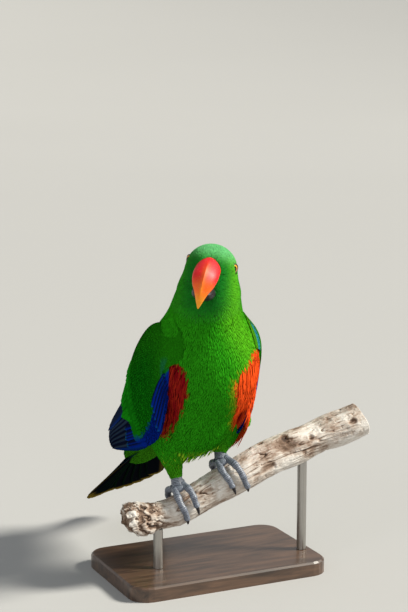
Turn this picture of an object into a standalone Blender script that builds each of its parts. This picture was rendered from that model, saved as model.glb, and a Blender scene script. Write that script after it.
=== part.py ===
"""A male eclectus parrot as a life-size still model, gripping a short length of branch on a display stand.

Lengths are millimetres, and new_object turns them into metres. The row frame has +Z up, +X to the bird's
left and -Y the way that its breast faces. The origin lies under the middle of the stand's base.
"""

import math

import bmesh
import bpy
import numpy as np

MM = 0.001
# What touching nodes keep between them, and how far a cutter stands off what it copies
GAP = 0.35
CUT_GAP = 0.4

# Where the bird stands
FEET = np.array([-14.0, -16.0, 88.0])
PERCH_YAW = -4.0
PERCH_RISE = 23.8
FOOT_SPACING = 42.0

# The body's tilt and the turn of the head, in degrees
BODY_TILT = 37.0
HEAD_YAW = -33.0
HEAD_PITCH = 0.0
HEAD_ROLL = 10.5

# The torso and neck, measured from the middle of the feet
BODY_X = -2.5
TORSO_CENTRE = np.array([BODY_X, 16.0, 75.5])
TORSO_HALF = np.array([45.0, 82.0, 49.0])
CHEST_CENTRE = np.array([BODY_X, -15.0, 95.0])
CHEST_HALF = np.array([42.5, 43.0, 44.0])
BELLY_CENTRE = np.array([-7.0, 12.0, 53.5])
BELLY_HALF = np.array([37.0, 44.0, 40.0])
RUMP_START = np.array([BODY_X, 52.0, 46.0])
RUMP_END = np.array([BODY_X, 101.0, 15.0])
RUMP_RADII = (30.0, 15.0)
NECK_START = np.array([-5.4, -16.1, 112.0])
NECK_END = np.array([-9.0, -35.5, 155.7])
NECK_RADII = (36.4, 25.5)

# The head, whose origin lies midway between the eyes
HEAD_ORIGIN = np.array([-10.6, -44.5, 181.0])
SKULL_CENTRE = np.array([0.0, 3.5, -4.4])
SKULL_HALF = np.array([20.3, 24.5, 19.6])
CHEEK_CENTRE = np.array([0.3, -1.0, -15.2])
CHEEK_HALF = np.array([17.3, 17.5, 15.0])
BLEND = 13.0
CHEEK_BLEND = 5.5
HEAD_BLEND = 6.9

# The spine that the rings of the body follow, from the rump to the crown
SPINE = np.array([
    [BODY_X, 122.0, -5.0],
    [BODY_X, 84.0, 23.0],
    [BODY_X, 44.0, 50.0],
    [BODY_X, 8.0, 77.0],
    [-3.0, -16.0, 103.0],
    [-4.0, -29.0, 130.0],
    [-7.5, -37.0, 152.0],
    [-9.5, -41.0, 172.0],
    [-8.0, -42.0, 206.0],
])
RING_SIDES = 28
NECK_FROM = 0.552
HEAD_FROM = 0.735

# The eyes, and how far the ring of lid lies out from an eye's middle
EYE_SIDE = 15.5
EYE_AHEAD = 0.5
EYE_RADIUS = 5.2
EYE_FORWARD = 12.0
LID_OUT = 3.4
LID_RADIUS = 4.5
LID_THICK = 0.95
LID_FLATTEN = 0.9

# The wing's edges and its bulge, on the bird's right, from the front to the tip
WING_LOW = np.array([
    [-39.0, -33.0, 84.0],
    [-43.0, -22.0, 46.0],
    [-44.0, 14.0, 26.0],
    [-39.0, 66.0, 10.0],
    [-28.0, 118.0, -6.0],
    [-15.0, 160.0, -18.0],
])
WING_MIDDLE = np.array([
    [-41.0, -36.0, 108.0],
    [-49.0, -8.0, 96.0],
    [-48.0, 30.0, 74.0],
    [-37.5, 76.0, 44.0],
    [-31.0, 120.0, 15.0],
    [-13.0, 158.0, -14.0],
])
WING_HIGH = np.array([
    [-29.0, -22.0, 137.0],
    [-35.0, 10.0, 128.0],
    [-27.0, 48.0, 102.0],
    [-15.0, 90.0, 63.0],
    [-9.0, 126.0, 29.0],
    [-9.0, 156.0, -7.0],
])
# How much closer the left wing's lower edge is held
LEFT_TUCK = 0.08
WING_THICK = 9.0
# The plate under the feathers: where it ends, how far it stands out, and how far in from its front and
# its rear it thins
SHELL_END = 0.46
SHELL_RISE = 2.6
SHELL_SINK = 0.2
SHELL_FADE = 0.12
# Each tier of the wing: how many feathers, where they start, then for the lowest and the highest how far
# along the wing the tips lie, how high up it the roots and the tips are, then the half width and the lifts
WING_TIERS = (
    (8, 0.36, (1.00, 0.76), (0.12, 0.50), (0.40, 0.62), 0.14, (-3.8, -1.3)),
    (6, 0.36, (0.77, 0.82), (0.40, 0.90), (0.50, 0.92), 0.12, (-1.0, 0.3)),
    (6, 0.30, (0.62, 0.67), (0.10, 0.92), (0.10, 0.92), 0.12, (0.3, 1.1)),
    (6, 0.22, (0.46, 0.53), (0.12, 0.90), (0.12, 0.90), 0.12, (1.7, 2.1)),
)
VANE_ROWS = (0.0, 0.5, 0.86, 1.0)
VANE_WIDTHS = (0.6, 1.0, 0.85, 0.25)
VANE_RISE = 1.6
VANE_TILT = 0.35
VANE_DIP = 0.2
VANE_THICK = 0.9
VANE_EDGE = 0.55
VANE_STEP = 0.53

# The tail
TAIL_ROOT = np.array([BODY_X, 88.0, 20.0])
TAIL_ROOT_HALF = (19.0, 40.0, 11.5)
TAIL_ROOT_AT = 0.16
TAIL_ROOT_SINK = 3.45
TAIL_DROP = 40.0
TAIL_LENGTH = 124.0
TAIL_OUTER_LENGTH = 96.0
TAIL_SPREAD = 24.0
TAIL_YAW = 6.0
TAIL_ROLL = 8.0
TAIL_PAIRS = 6
RECTRIX_WIDTH = 19.0
# How far the fan arches down at its sides, and how far it droops toward its tip
TAIL_ARCH = 5.0
TAIL_DROOP = 4.0
RECTRIX_ROWS = (0.0, 0.3, 0.6, 0.82, 0.94, 1.0)
RECTRIX_WIDTHS = (0.35, 0.8, 1.0, 1.0, 0.8, 0.3)
RECTRIX_ROOT = 0.03

# The legs
THIGH_TOP = np.array([-29.0, 6.0, 42.0])
THIGH_RADII = (19.0, 6.8)
THIGH_TAPER = 1.1
ANKLE = (0.0, 4.0, 7.5)
SHANK_RADII = (4.6, 5.2)
SHANK_SINK = 5.0
SOLE_HALF = (6.4, 7.6, 3.9)
SOLE_RISE = 3.6
TOE_RADIUS = 3.1
TOE_FLATTEN = 0.86
CLAW_LENGTH = 12.0
CLAW_BEND = 52.0
CLAW_TIP = 0.25

# The branch: distance along it from the middle of the feet, sideways and upward drift, radius
PERCH_PATH = np.array([
    [-71.0, 0.0, 12.5, 14.5],
    [-62.0, 0.0, 10.0, 15.5],
    [-49.0, 0.0, 5.5, 12.5],
    [-34.0, 0.0, 0.0, 12.5],
    [0.0, 0.0, 0.0, 13.5],
    [30.0, 0.0, 0.0, 15.0],
    [58.0, 1.0, 0.0, 15.0],
    [84.0, 2.0, -3.0, 15.5],
    [106.0, 2.0, -6.0, 14.5],
    [128.0, 0.0, -9.0, 15.0],
    [146.0, -2.0, -9.0, 14.5],
])
PERCH_SIDES = 14
PERCH_RINGS = 24
# How deep the branch's middle lies under the feet, and how far from them its ridges begin
PERCH_DEPTH = 17.6
FEET_CLEAR = 38.0

# The stand
BASE_SIZE = (176.0, 112.0, 12.0)
BASE_CORNER = 16.0
BASE_BEVEL = 1.5
ROD_RADIUS = 4.0
ROD_AT = (-46.0, 92.0)

GREEN = (0.01, 0.20, 0.012)
COLOURS = {
    "plumage": (GREEN, 0.6),
    "bill_orange": ((0.85, 0.16, 0.05), 0.3),
    "bill_black": ((0.02, 0.02, 0.025), 0.4),
    "eye": ((0.35, 0.16, 0.02), 0.1),
    "foot_grey": ((0.16, 0.18, 0.21), 0.6),
    "claw": ((0.02, 0.02, 0.024), 0.35),
    "driftwood": ((0.42, 0.34, 0.27), 0.85),
    "stand_wood": ((0.10, 0.06, 0.04), 0.5),
    "stand_metal": ((0.30, 0.29, 0.27), 0.35),
}


def turn(axis, degrees):
    """The rotation matrix about one of the axes x, y and z."""
    c = math.cos(math.radians(degrees))
    s = math.sin(math.radians(degrees))
    if axis == "x":
        return np.array([[1, 0, 0], [0, c, -s], [0, s, c]])
    if axis == "y":
        return np.array([[c, 0, s], [0, 1, 0], [-s, 0, c]])
    return np.array([[c, -s, 0], [s, c, 0], [0, 0, 1]])


HEAD_TURN = turn("z", HEAD_YAW) @ turn("x", HEAD_PITCH) @ turn("y", HEAD_ROLL)
BODY_TURN = turn("x", -BODY_TILT)
PERCH_TURN = turn("z", PERCH_YAW) @ turn("y", -PERCH_RISE)


def unit(v):
    return v / np.maximum(np.linalg.norm(v, axis=-1, keepdims=True), 1e-9)


def smooth_curve(points, t):
    """A Catmull-Rom curve through rows of numbers, read at t from 0 to 1."""
    points = np.asarray(points, float)
    t = np.atleast_1d(np.clip(t, 0.0, 1.0)) * (len(points) - 1)
    i = np.minimum(t.astype(int), len(points) - 2)
    f = (t - i)[:, None]
    a = points[np.maximum(i - 1, 0)]
    b = points[i]
    c = points[i + 1]
    d = points[np.minimum(i + 2, len(points) - 1)]
    first = np.where((i == 0)[:, None], 2 * b - c, a)
    last = np.where((i == len(points) - 2)[:, None], 2 * c - b, d)
    return 0.5 * (2 * b + (c - first) * f + (2 * first - 5 * b + 4 * c - last) * f**2
                  + (3 * b - first - 3 * c + last) * f**3)


# The body as a blend of simple forms

def ellipsoid(p, half):
    """About how far p lies outside an ellipsoid at the origin."""
    near = np.linalg.norm(p / half, axis=-1)
    slope = np.linalg.norm(p / half**2, axis=-1)
    return near * (near - 1.0) / np.maximum(slope, 1e-6)


def round_cone(p, start, end, radii):
    """How far p lies outside a rod that runs from one radius to another."""
    along = end - start
    h = np.clip((p - start) @ along / (along @ along), 0.0, 1.0)
    return np.linalg.norm(p - start - h[..., None] * along, axis=-1) - (radii[0] + h * (radii[1] - radii[0]))


def blended(a, b, reach):
    h = np.maximum(reach - np.abs(a - b), 0.0) / reach
    return np.minimum(a, b) - h * h * reach / 4.0


def body_distance(p):
    """About how far p, measured from the feet, lies outside the plumage of the body, neck and head."""
    d = ellipsoid((p - TORSO_CENTRE) @ BODY_TURN, TORSO_HALF)
    d = blended(d, ellipsoid((p - CHEST_CENTRE) @ BODY_TURN, CHEST_HALF), BLEND)
    d = blended(d, ellipsoid((p - BELLY_CENTRE) @ BODY_TURN, BELLY_HALF), BLEND)
    d = blended(d, round_cone(p, RUMP_START, RUMP_END, RUMP_RADII), BLEND)
    d = blended(d, round_cone(p, NECK_START, NECK_END, NECK_RADII), BLEND)
    q = (p - HEAD_ORIGIN) @ HEAD_TURN
    skull = ellipsoid(q - SKULL_CENTRE, SKULL_HALF)
    cheeks = ellipsoid(q - CHEEK_CENTRE, CHEEK_HALF)
    return blended(d, blended(skull, cheeks, CHEEK_BLEND), HEAD_BLEND)


def spine_frame(t):
    """The spine's points, with the directions along it, to the bird's left and to its back."""
    t = np.atleast_1d(t)
    centre = smooth_curve(SPINE, t)
    along = unit(smooth_curve(SPINE, t + 0.004) - smooth_curve(SPINE, t - 0.004))
    share = np.clip((t - NECK_FROM + 0.1) / 0.3, 0.0, 1.0)
    share = (share * share * (3 - 2 * share))[:, None]
    left = (1 - share) * np.array([1.0, 0.0, 0.0]) + share * HEAD_TURN[:, 0]
    left = unit(left - (left * along).sum(1)[:, None] * along)
    return centre, along, left, np.cross(along, left)


def body_rings(t, angles):
    """The body's surface at spine stations t and angles round them, 0 at the back and 90 at its left."""
    centre, _, left, back = spine_frame(t)
    rays = (np.cos(angles)[None, :, None] * back[:, None, :]
            + np.sin(angles)[None, :, None] * left[:, None, :])
    reach = np.linspace(0.0, 80.0, 81)
    p = centre[:, None, None, :] + reach[None, None, :, None] * rays[:, :, None, :]
    outside = body_distance(p) > 0.0
    first = np.argmax(outside, axis=2)
    high = reach[first]
    low = np.maximum(high - 1.0, 0.0)
    for _ in range(14):
        middle = (low + high) / 2
        out = body_distance(centre[:, None, :] + middle[..., None] * rays) > 0.0
        high = np.where(out, middle, high)
        low = np.where(out, low, middle)
    return centre[:, None, :] + ((low + high) / 2)[..., None] * rays


def spine_ends():
    """Where the spine leaves the body, at the rump and at the crown."""
    t = np.linspace(0.0, 1.0, 4001)
    inside = np.nonzero(body_distance(smooth_curve(SPINE, t)) < 0.0)[0]
    return t[inside[0]], t[inside[-1]]


# Meshes

def new_object(name, verts, faces, colour, smooth=True):
    """A closed mesh object from points in millimetres, with its faces turned outward."""
    mesh = bpy.data.meshes.new(name)
    mesh.from_pydata([tuple(v) for v in np.asarray(verts) * MM], [], [tuple(f) for f in faces])
    obj = bpy.data.objects.new(name, mesh)
    bpy.context.scene.collection.objects.link(obj)
    work = bmesh.new()
    work.from_mesh(mesh)
    bmesh.ops.recalc_face_normals(work, faces=work.faces)
    work.to_mesh(mesh)
    work.free()
    mesh.materials.append(material(colour))
    if smooth:
        shade(mesh)
    return obj


def shade(mesh):
    mesh.shade_smooth()
    mesh.set_sharp_from_angle(angle=math.radians(40.0))


def material(name):
    if name in bpy.data.materials:
        return bpy.data.materials[name]
    made = bpy.data.materials.new(name)
    made.use_nodes = True
    shader = made.node_tree.nodes["Principled BSDF"]
    colour, roughness = COLOURS[name]
    shader.inputs["Base Color"].default_value = (*colour, 1.0)
    shader.inputs["Roughness"].default_value = roughness
    shader.inputs["Metallic"].default_value = 1.0 if name == "stand_metal" else 0.0
    return made


def loft(rings, closed_start=True, closed_end=True):
    """Points and triangles of a skin over rings of equal size, its ends closed to their own middles."""
    count, sides, _ = rings.shape
    verts = list(rings.reshape(-1, 3))
    faces = []
    for i in range(count - 1):
        for j in range(sides):
            a = i * sides + j
            b = i * sides + (j + 1) % sides
            faces += [(a, b, b + sides), (a, b + sides, a + sides)]
    for i, closed in ((0, closed_start), (count - 1, closed_end)):
        if closed:
            verts.append(rings[i].mean(axis=0))
            middle = len(verts) - 1
            for j in range(sides):
                pair = (i * sides + j, i * sides + (j + 1) % sides)
                faces.append((*(pair if i else pair[::-1]), middle))
    return np.array(verts), faces


def tube(path, radii, sides, flatten=1.0, up=(0.0, 0.0, 1.0)):
    """Rings round a path. flatten squeezes them along the direction that faces up."""
    path = np.asarray(path, float)
    along = unit(np.gradient(path, axis=0))
    side = unit(np.cross(along, np.asarray(up, float)))
    over = np.cross(side, along)
    angle = np.linspace(0, 2 * np.pi, sides, endpoint=False)
    radii = np.asarray(radii, float)[:, None, None]
    return path[:, None, :] + radii * (np.cos(angle)[None, :, None] * side[:, None, :]
                                       + flatten * np.sin(angle)[None, :, None] * over[:, None, :])


def ball(centre, half, rotation=np.eye(3), rings=8, sides=12):
    polar = np.linspace(0.0, np.pi, rings + 1)[1:-1]
    angle = np.linspace(0, 2 * np.pi, sides, endpoint=False)
    shape = np.stack([np.sin(polar)[:, None] * np.cos(angle)[None, :],
                      np.sin(polar)[:, None] * np.sin(angle)[None, :],
                      np.repeat(np.cos(polar)[:, None], sides, axis=1)], axis=-1)
    verts, faces = loft(shape, True, True)
    verts[-2] = (0, 0, 1)
    verts[-1] = (0, 0, -1)
    return (verts * np.asarray(half)) @ rotation.T + np.asarray(centre), faces


def boolean(target, kind, others, solver="EXACT"):
    """Joins the other objects to the target, or cuts them from it, and removes them."""
    group = bpy.data.collections.new("tools")
    bpy.context.scene.collection.children.link(group)
    for other in others:
        group.objects.link(other)
    step = target.modifiers.new("boolean", "BOOLEAN")
    step.operation = kind
    step.operand_type = "COLLECTION"
    step.collection = group
    step.solver = solver
    graph = bpy.context.evaluated_depsgraph_get()
    made = bpy.data.meshes.new_from_object(target.evaluated_get(graph))
    target.modifiers.clear()
    old = target.data
    target.data = made
    bpy.data.meshes.remove(old)
    for other in others:
        bpy.data.objects.remove(other)
    bpy.data.collections.remove(group)
    keep_largest(target)
    return target


def keep_largest(obj):
    """Drops every closed surface of the mesh but the largest."""
    work = bmesh.new()
    work.from_mesh(obj.data)
    bmesh.ops.triangulate(work, faces=work.faces)
    left = set(work.faces)
    groups = []
    while left:
        seed = left.pop()
        group = {seed}
        queue = [seed]
        while queue:
            face = queue.pop()
            for edge in face.edges:
                for other in edge.link_faces:
                    if other in left:
                        left.discard(other)
                        group.add(other)
                        queue.append(other)
        groups.append(group)
    groups.sort(key=lambda g: sum(f.calc_area() for f in g))
    for group in groups[:-1]:
        bmesh.ops.delete(work, geom=list(group), context="FACES")
    loose = [v for v in work.verts if not v.link_faces]
    bmesh.ops.delete(work, geom=loose, context="VERTS")
    work.to_mesh(obj.data)
    work.free()
    shade(obj.data)


def stations(start, end, count, close_start, close_end):
    """Spine stations from start to end, closer together where an end closes to a point."""
    u = np.linspace(0.0, 1.0, count)
    if close_start and close_end:
        u = (1 - np.cos(np.pi * u)) / 2
    elif close_start:
        u = 1 - np.cos(np.pi * u / 2)
    elif close_end:
        u = np.sin(np.pi * u / 2)
    return start + u * (end - start)


def body_piece(name, start, end, count, close_start, close_end):
    """A length of the body between two spine stations. A closed end runs to a point on the spine."""
    angles = np.linspace(0, 2 * np.pi, RING_SIDES, endpoint=False)
    t = stations(start, end, count, close_start, close_end)
    rings = body_rings(t[(1 if close_start else 0):(-1 if close_end else None)], angles)
    verts, faces = loft(rings)
    if close_start:
        verts[-2] = smooth_curve(SPINE, t[0])[0]
    if close_end:
        verts[-1] = smooth_curve(SPINE, t[-1])[0]
    return new_object(name, verts + FEET, faces, "plumage")


def grown(obj):
    """A copy of an object whose faces stand a little off it."""
    copy = obj.copy()
    copy.data = obj.data.copy()
    bpy.context.scene.collection.objects.link(copy)
    for vertex, normal in zip(copy.data.vertices, obj.data.vertex_normals):
        vertex.co += normal.vector * CUT_GAP * MM
    return copy


def cut_clear(obj, others):
    """Cuts an object back from the others by the gap."""
    return boolean(obj, "DIFFERENCE", [grown(other) for other in others])


# The head, its eyes and its bill

def on_head(points):
    return np.asarray(points) @ HEAD_TURN.T + HEAD_ORIGIN + FEET


def eye_place(side):
    """The middle of an eye and the way that it looks, in the head's frame. side is 1 for the bird's left."""
    look = turn("z", -side * EYE_FORWARD) @ np.array([side, 0.0, 0.0])
    return np.array([side * EYE_SIDE, EYE_AHEAD, 0.0]), look


def lid_ring(side):
    """The ring of bare lid round an eye."""
    centre, look = eye_place(side)
    angle = np.linspace(0, 2 * np.pi, 14, endpoint=False)
    over = np.array([0.0, 0.0, 1.0])
    across = np.cross(over, look)
    middle = centre + look * LID_OUT
    round_eye = np.cos(angle)[:, None] * across + np.sin(angle)[:, None] * over * LID_FLATTEN
    profile = np.linspace(0, 2 * np.pi, 5, endpoint=False)
    rings = (middle + round_eye[:, None, :] * (LID_RADIUS + LID_THICK * np.cos(profile)[None, :, None])
             + look * LID_THICK * np.sin(profile)[None, :, None])
    sides = len(profile)
    faces = []
    for i in range(len(angle)):
        for j in range(sides):
            a = i * sides + j
            b = i * sides + (j + 1) % sides
            c = (i + 1) % len(angle) * sides + (j + 1) % sides
            d = (i + 1) % len(angle) * sides + j
            faces += [(a, b, c), (a, c, d)]
    return new_object("lid", on_head(rings.reshape(-1, 3)), faces, "plumage")


# Ridge, inner edge and half width of the upper bill, from its root to its tip, in the head's frame
BILL_RIDGE = np.array([[-9.0, 8.6], [-21.5, 6.4], [-32.0, 1.2], [-39.0, -6.8],
                       [-41.6, -15.2], [-40.8, -22.8], [-38.2, -29.0]])
BILL_INNER = np.array([[-7.0, -9.6], [-16.5, -10.8], [-24.0, -12.8], [-28.8, -15.8],
                       [-32.4, -19.6], [-35.4, -24.4], [-37.8, -29.0]])
BILL_WIDTH = np.array([[8.8], [9.5], [9.5], [8.2], [5.6], [2.9], [0.5]])
# How sharply the bill's section narrows to its ridge, and to its edge
RIDGE_SHARP = 1.2
EDGE_SHARP = 0.85
LOWER_BILL = np.array([[-5.0, -17.4, 8.0, 5.8], [-13.0, -18.8, 9.0, 6.8], [-20.5, -19.8, 9.0, 6.2],
                       [-26.5, -20.2, 8.0, 4.8], [-30.6, -19.8, 5.6, 2.6]])
LOWER_LEAN = 1.5


def upper_bill_rings(count, sides, grow=0.0):
    t = np.linspace(0.0, 1.0, count)
    ridge = smooth_curve(BILL_RIDGE, t)
    inner = smooth_curve(BILL_INNER, t)
    width = smooth_curve(BILL_WIDTH, t)[:, 0] + grow
    middle = (ridge + inner) / 2
    half = (ridge - inner) / 2
    half = half * (1 + grow / np.maximum(np.linalg.norm(half, axis=1), 0.3))[:, None]
    angle = np.linspace(0, 2 * np.pi, sides, endpoint=False)
    depth = np.cos(angle)
    across = np.sign(np.sin(angle)) * np.abs(np.sin(angle)) ** np.where(depth > 0, RIDGE_SHARP, EDGE_SHARP)
    rings = np.zeros((count, sides, 3))
    rings[..., 0] = width[:, None] * across[None, :]
    rings[..., 1:] = middle[:, None, :] + half[:, None, :] * depth[None, :, None]
    return rings


def make_upper_bill(name, grow=0.0):
    verts, faces = loft(upper_bill_rings(12, 16, grow))
    return new_object(name, on_head(verts), faces, "bill_orange")


def make_lower_bill(name):
    t = np.linspace(0.0, 1.0, 8)
    path = smooth_curve(LOWER_BILL, t)
    angle = np.linspace(0, 2 * np.pi, 14, endpoint=False)
    rings = np.zeros((len(t), len(angle), 3))
    rings[..., 0] = path[:, 2:3] * np.sin(angle)[None, :]
    rings[..., 1] = path[:, 0:1] - LOWER_LEAN * np.cos(angle)[None, :] * t[:, None]
    rings[..., 2] = path[:, 1:2] + path[:, 3:4] * np.cos(angle)[None, :]
    verts, faces = loft(rings)
    return new_object(name, on_head(verts), faces, "bill_black")


def make_head(crown):
    head = body_piece("head", HEAD_FROM + 0.0018, crown, 15, False, True)
    cut_clear(make_upper_bill("bill_upper"), [head])
    lower = make_lower_bill("bill_lower")
    cut_clear(lower, [head])
    boolean(lower, "DIFFERENCE", [make_upper_bill("cutter", GAP)])
    boolean(head, "UNION", [lid_ring(1), lid_ring(-1)])
    sockets = []
    for side in (1, -1):
        centre, _ = eye_place(side)
        sockets.append(new_object("socket", *placed_ball(centre, EYE_RADIUS + GAP, 8, 12), "eye"))
    boolean(head, "DIFFERENCE", sockets)
    for side, name in ((1, "eye_left"), (-1, "eye_right")):
        new_object(name, *placed_ball(eye_place(side)[0], EYE_RADIUS, 8, 12), "eye")


def placed_ball(centre, radius, rings, sides):
    verts, faces = ball(centre, (radius,) * 3, turn("y", 90.0), rings, sides)
    return on_head(verts), faces


# Feathers

def slab(top, under):
    """The closed skin round two like grids of points, split into triangles alike on both faces."""
    rows, columns, _ = top.shape
    below = rows * columns
    faces = []
    for i in range(rows - 1):
        for j in range(columns - 1):
            a = i * columns + j
            for triangle in ((a, a + 1, a + columns + 1), (a, a + columns + 1, a + columns)):
                faces.append(triangle)
                faces.append(tuple(below + k for k in reversed(triangle)))
    grid = np.arange(below).reshape(rows, columns)
    rim = [*grid[0, :-1], *grid[:-1, -1], *grid[-1, :0:-1], *grid[:0:-1, 0]]
    for a, b in zip(rim, rim[1:] + rim[:1]):
        faces += [(a, below + b, b), (a, below + a, below + b)]
    return np.concatenate([top.reshape(-1, 3), under.reshape(-1, 3)]), faces


def feather(surface, a, shaft, half, lift, tilt=0.0):
    """A thin vane over a surface: its rows at a, its shaft at b = shaft and its edges half to each side.
    tilt raises one edge over the other, so that neighbours overlap like tiles."""
    sides = np.array([-1.0, 0.0, 1.0])
    point, normal = surface(np.repeat(a, 3), (shaft[:, None] + half[:, None] * sides).ravel())
    thick = np.tile([VANE_EDGE, VANE_THICK, VANE_EDGE], len(a))[:, None]
    slope = np.tile(tilt * sides - VANE_DIP * np.abs(sides), len(a))
    middle = point + normal * (np.repeat(lift, 3) + slope)[:, None]
    top = middle + normal * thick / 2
    under = middle - normal * thick / 2
    return slab(top.reshape(len(a), 3, 3), under.reshape(len(a), 3, 3))


def wing_surface(side):
    """The outer face of a folded wing: a runs from its front to its tip and b from its lower edge upward."""
    tuck = LEFT_TUCK if side > 0 else 0.0

    def point(a, b):
        low = smooth_curve(WING_LOW, a)
        middle = smooth_curve(WING_MIDDLE, a)
        high = smooth_curve(WING_HIGH, a)
        b = np.atleast_1d(b)[:, None]
        bend = low * (1 - b) * (1 - 2 * b) + 4 * middle * b * (1 - b) + high * b * (2 * b - 1)
        bend[:, 0] *= -side * (1 - tuck * (1 - b[:, 0]))
        return bend + np.array([BODY_X, 0.0, 0.0])

    def surface(a, b):
        a, b = np.broadcast_arrays(np.atleast_1d(a), np.atleast_1d(b))
        p = point(a, b)
        da = point(np.minimum(a + 0.01, 1.0), b) - point(np.maximum(a - 0.01, 0.0), b)
        db = point(a, b + 0.02) - point(a, b - 0.02)
        normal = unit(np.cross(db, da)) * side
        return p + FEET, normal * np.sign((normal[:, 0] * side).mean() or 1.0)

    return surface


def wing_tier(surface, count, start, tips, roots, ends, half, lifts):
    """A row of the wing's feathers. Each pair of numbers is for the lowest and the highest of them: how far
    along the wing their tips lie, how high up it their roots and tips are, and how far they stand off it."""
    t = np.array(VANE_ROWS)
    feathers = []
    for share in np.linspace(0.0, 1.0, count):
        tip, root, end, lift = (low + (high - low) * share for low, high in (tips, roots, ends, lifts))
        feathers.append(feather(surface, start + (tip - start) * t, root + (end - root) * t,
                                half * np.array(VANE_WIDTHS), lift + VANE_RISE * (t - 1.0), VANE_TILT))
    return feathers


def wing_shell(surface):
    """The covered front of the wing, as a plate that follows the surface and thins toward its edges."""
    along = np.linspace(0.0, SHELL_END, 12)
    up = np.linspace(0.0, 1.0, 9)
    a, b = (grid.ravel() for grid in np.meshgrid(along, up, indexing="ij"))
    point, normal = surface(a, b)
    front = np.sqrt(np.minimum(1.0, a / SHELL_FADE + 0.02))
    rear = np.sqrt(np.maximum(0.06, 1.0 - (np.maximum(a - SHELL_END + SHELL_FADE, 0.0) / SHELL_FADE) ** 2))
    edge = np.sqrt(np.maximum(1.0 - (2.0 * b - 1.0) ** 6, 0.0))
    lift = SHELL_RISE * front * rear * edge - SHELL_SINK
    depth = WING_THICK * front * rear * (0.25 + 0.75 * edge)
    shape = (len(along), len(up), 3)
    top = point + normal * lift[:, None]
    under = point - normal * depth[:, None]
    return slab(top.reshape(shape), under.reshape(shape))


def make_wing(name, side, body):
    surface = wing_surface(side)
    wing = new_object(name, *wing_shell(surface), "plumage")
    feathers = [shape for tier in WING_TIERS for shape in wing_tier(surface, *tier)]
    boolean(wing, "UNION", [new_object("feather", verts, faces, "plumage") for verts, faces in feathers])
    return cut_clear(wing, body)


def tail_surface():
    """The fan of the tail: a runs from its root to the middle pair's tip, b is the angle from the middle."""
    back = turn("z", TAIL_YAW) @ turn("x", -TAIL_DROP) @ turn("y", -TAIL_ROLL)

    def point(a, b):
        angle = np.radians(b)
        reach = TAIL_LENGTH * a
        arch = -TAIL_ARCH * np.abs(b / TAIL_SPREAD) ** 1.6 * (0.4 + 0.6 * a)
        local = np.stack([reach * np.sin(angle), reach * np.cos(angle), arch - TAIL_DROOP * a * a], axis=-1)
        return local @ back.T + TAIL_ROOT + FEET

    def surface(a, b):
        a, b = np.broadcast_arrays(np.atleast_1d(a), np.atleast_1d(b))
        da = point(a + 0.01, b) - point(a - 0.01, b)
        db = point(a, b + 0.5) - point(a, b - 0.5)
        return point(a, b), unit(np.cross(db, da))

    return surface


def tail_vane(surface, angle, length, level):
    """A tail feather of even width, so that its half angle shrinks along it."""
    wide = RECTRIX_WIDTH / 2 * np.array(RECTRIX_WIDTHS)
    a = RECTRIX_ROOT + (length / TAIL_LENGTH - RECTRIX_ROOT) * np.array(RECTRIX_ROWS)
    half = np.degrees(np.arctan2(wide, TAIL_LENGTH * np.maximum(a, 0.12)))
    return feather(surface, a, np.full(len(a), angle), half, np.full(len(a), level))


def make_tail(body):
    surface = tail_surface()
    root, normal = surface(np.array([TAIL_ROOT_AT]), np.array([0.0]))
    centre = root[0] - normal[0] * TAIL_ROOT_SINK
    verts, faces = ball(centre, TAIL_ROOT_HALF, turn("x", -TAIL_DROP), 12, 16)
    tail = new_object("tail", verts, faces, "plumage")
    parts = []
    for pair in range(TAIL_PAIRS):
        share = (pair + 0.4) / TAIL_PAIRS
        length = TAIL_LENGTH + (TAIL_OUTER_LENGTH - TAIL_LENGTH) * share**2
        for side in (1, -1):
            level = -VANE_STEP * (2 * pair + (side < 0))
            shape = tail_vane(surface, side * TAIL_SPREAD * share, length - (side < 0), level)
            parts.append(new_object("feather", *shape, "plumage"))
    boolean(tail, "UNION", parts)
    return cut_clear(tail, body)


# The branch and the feet on it

def perch_frame(s):
    """The branch's middle at s along it, and its radius."""
    s = np.atleast_1d(s)
    drift = np.stack([np.interp(s, PERCH_PATH[:, 0], PERCH_PATH[:, k]) for k in (1, 2, 3)], axis=-1)
    local = np.stack([s, drift[:, 0], drift[:, 1] - PERCH_DEPTH], axis=-1)
    return local @ PERCH_TURN.T + FEET, drift[:, 2]


def perch_rings(grow=0.0, count=PERCH_RINGS):
    """Rings of the branch, ridged and knotted away from the feet."""
    low, high = PERCH_PATH[0, 0] - grow, PERCH_PATH[-1, 0] + grow
    s = np.linspace(low, high, count)
    share = np.interp(s, PERCH_PATH[:, 0], np.linspace(0, 1, len(PERCH_PATH)))
    path = smooth_curve(PERCH_PATH[:, 1:], share)
    angle = np.linspace(0, 2 * np.pi, PERCH_SIDES, endpoint=False)
    away = np.clip((np.abs(s) - FEET_CLEAR) / 20.0, 0.0, 1.0)[:, None]
    ridge = away * (0.7 * np.sin(3 * angle[None, :] + s[:, None] * 0.05)
                    + 0.5 * np.sin(5 * angle[None, :] - s[:, None] * 0.11))
    radius = path[:, 2:3] + ridge + grow
    local = np.zeros((count, PERCH_SIDES, 3))
    local[..., 0] = s[:, None]
    local[..., 1] = path[:, 0:1] + radius * np.sin(angle)[None, :]
    local[..., 2] = path[:, 1:2] - PERCH_DEPTH + radius * np.cos(angle)[None, :]
    local[0, :, 0] += 2.5 * np.sin(2 * angle + 0.6) * (grow == 0)
    return local


def on_perch(points):
    return np.asarray(points) @ PERCH_TURN.T + FEET


def make_perch(name, grow=0.0):
    verts, faces = loft(perch_rings(grow))
    return new_object(name, on_perch(verts), faces, "driftwood")


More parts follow.
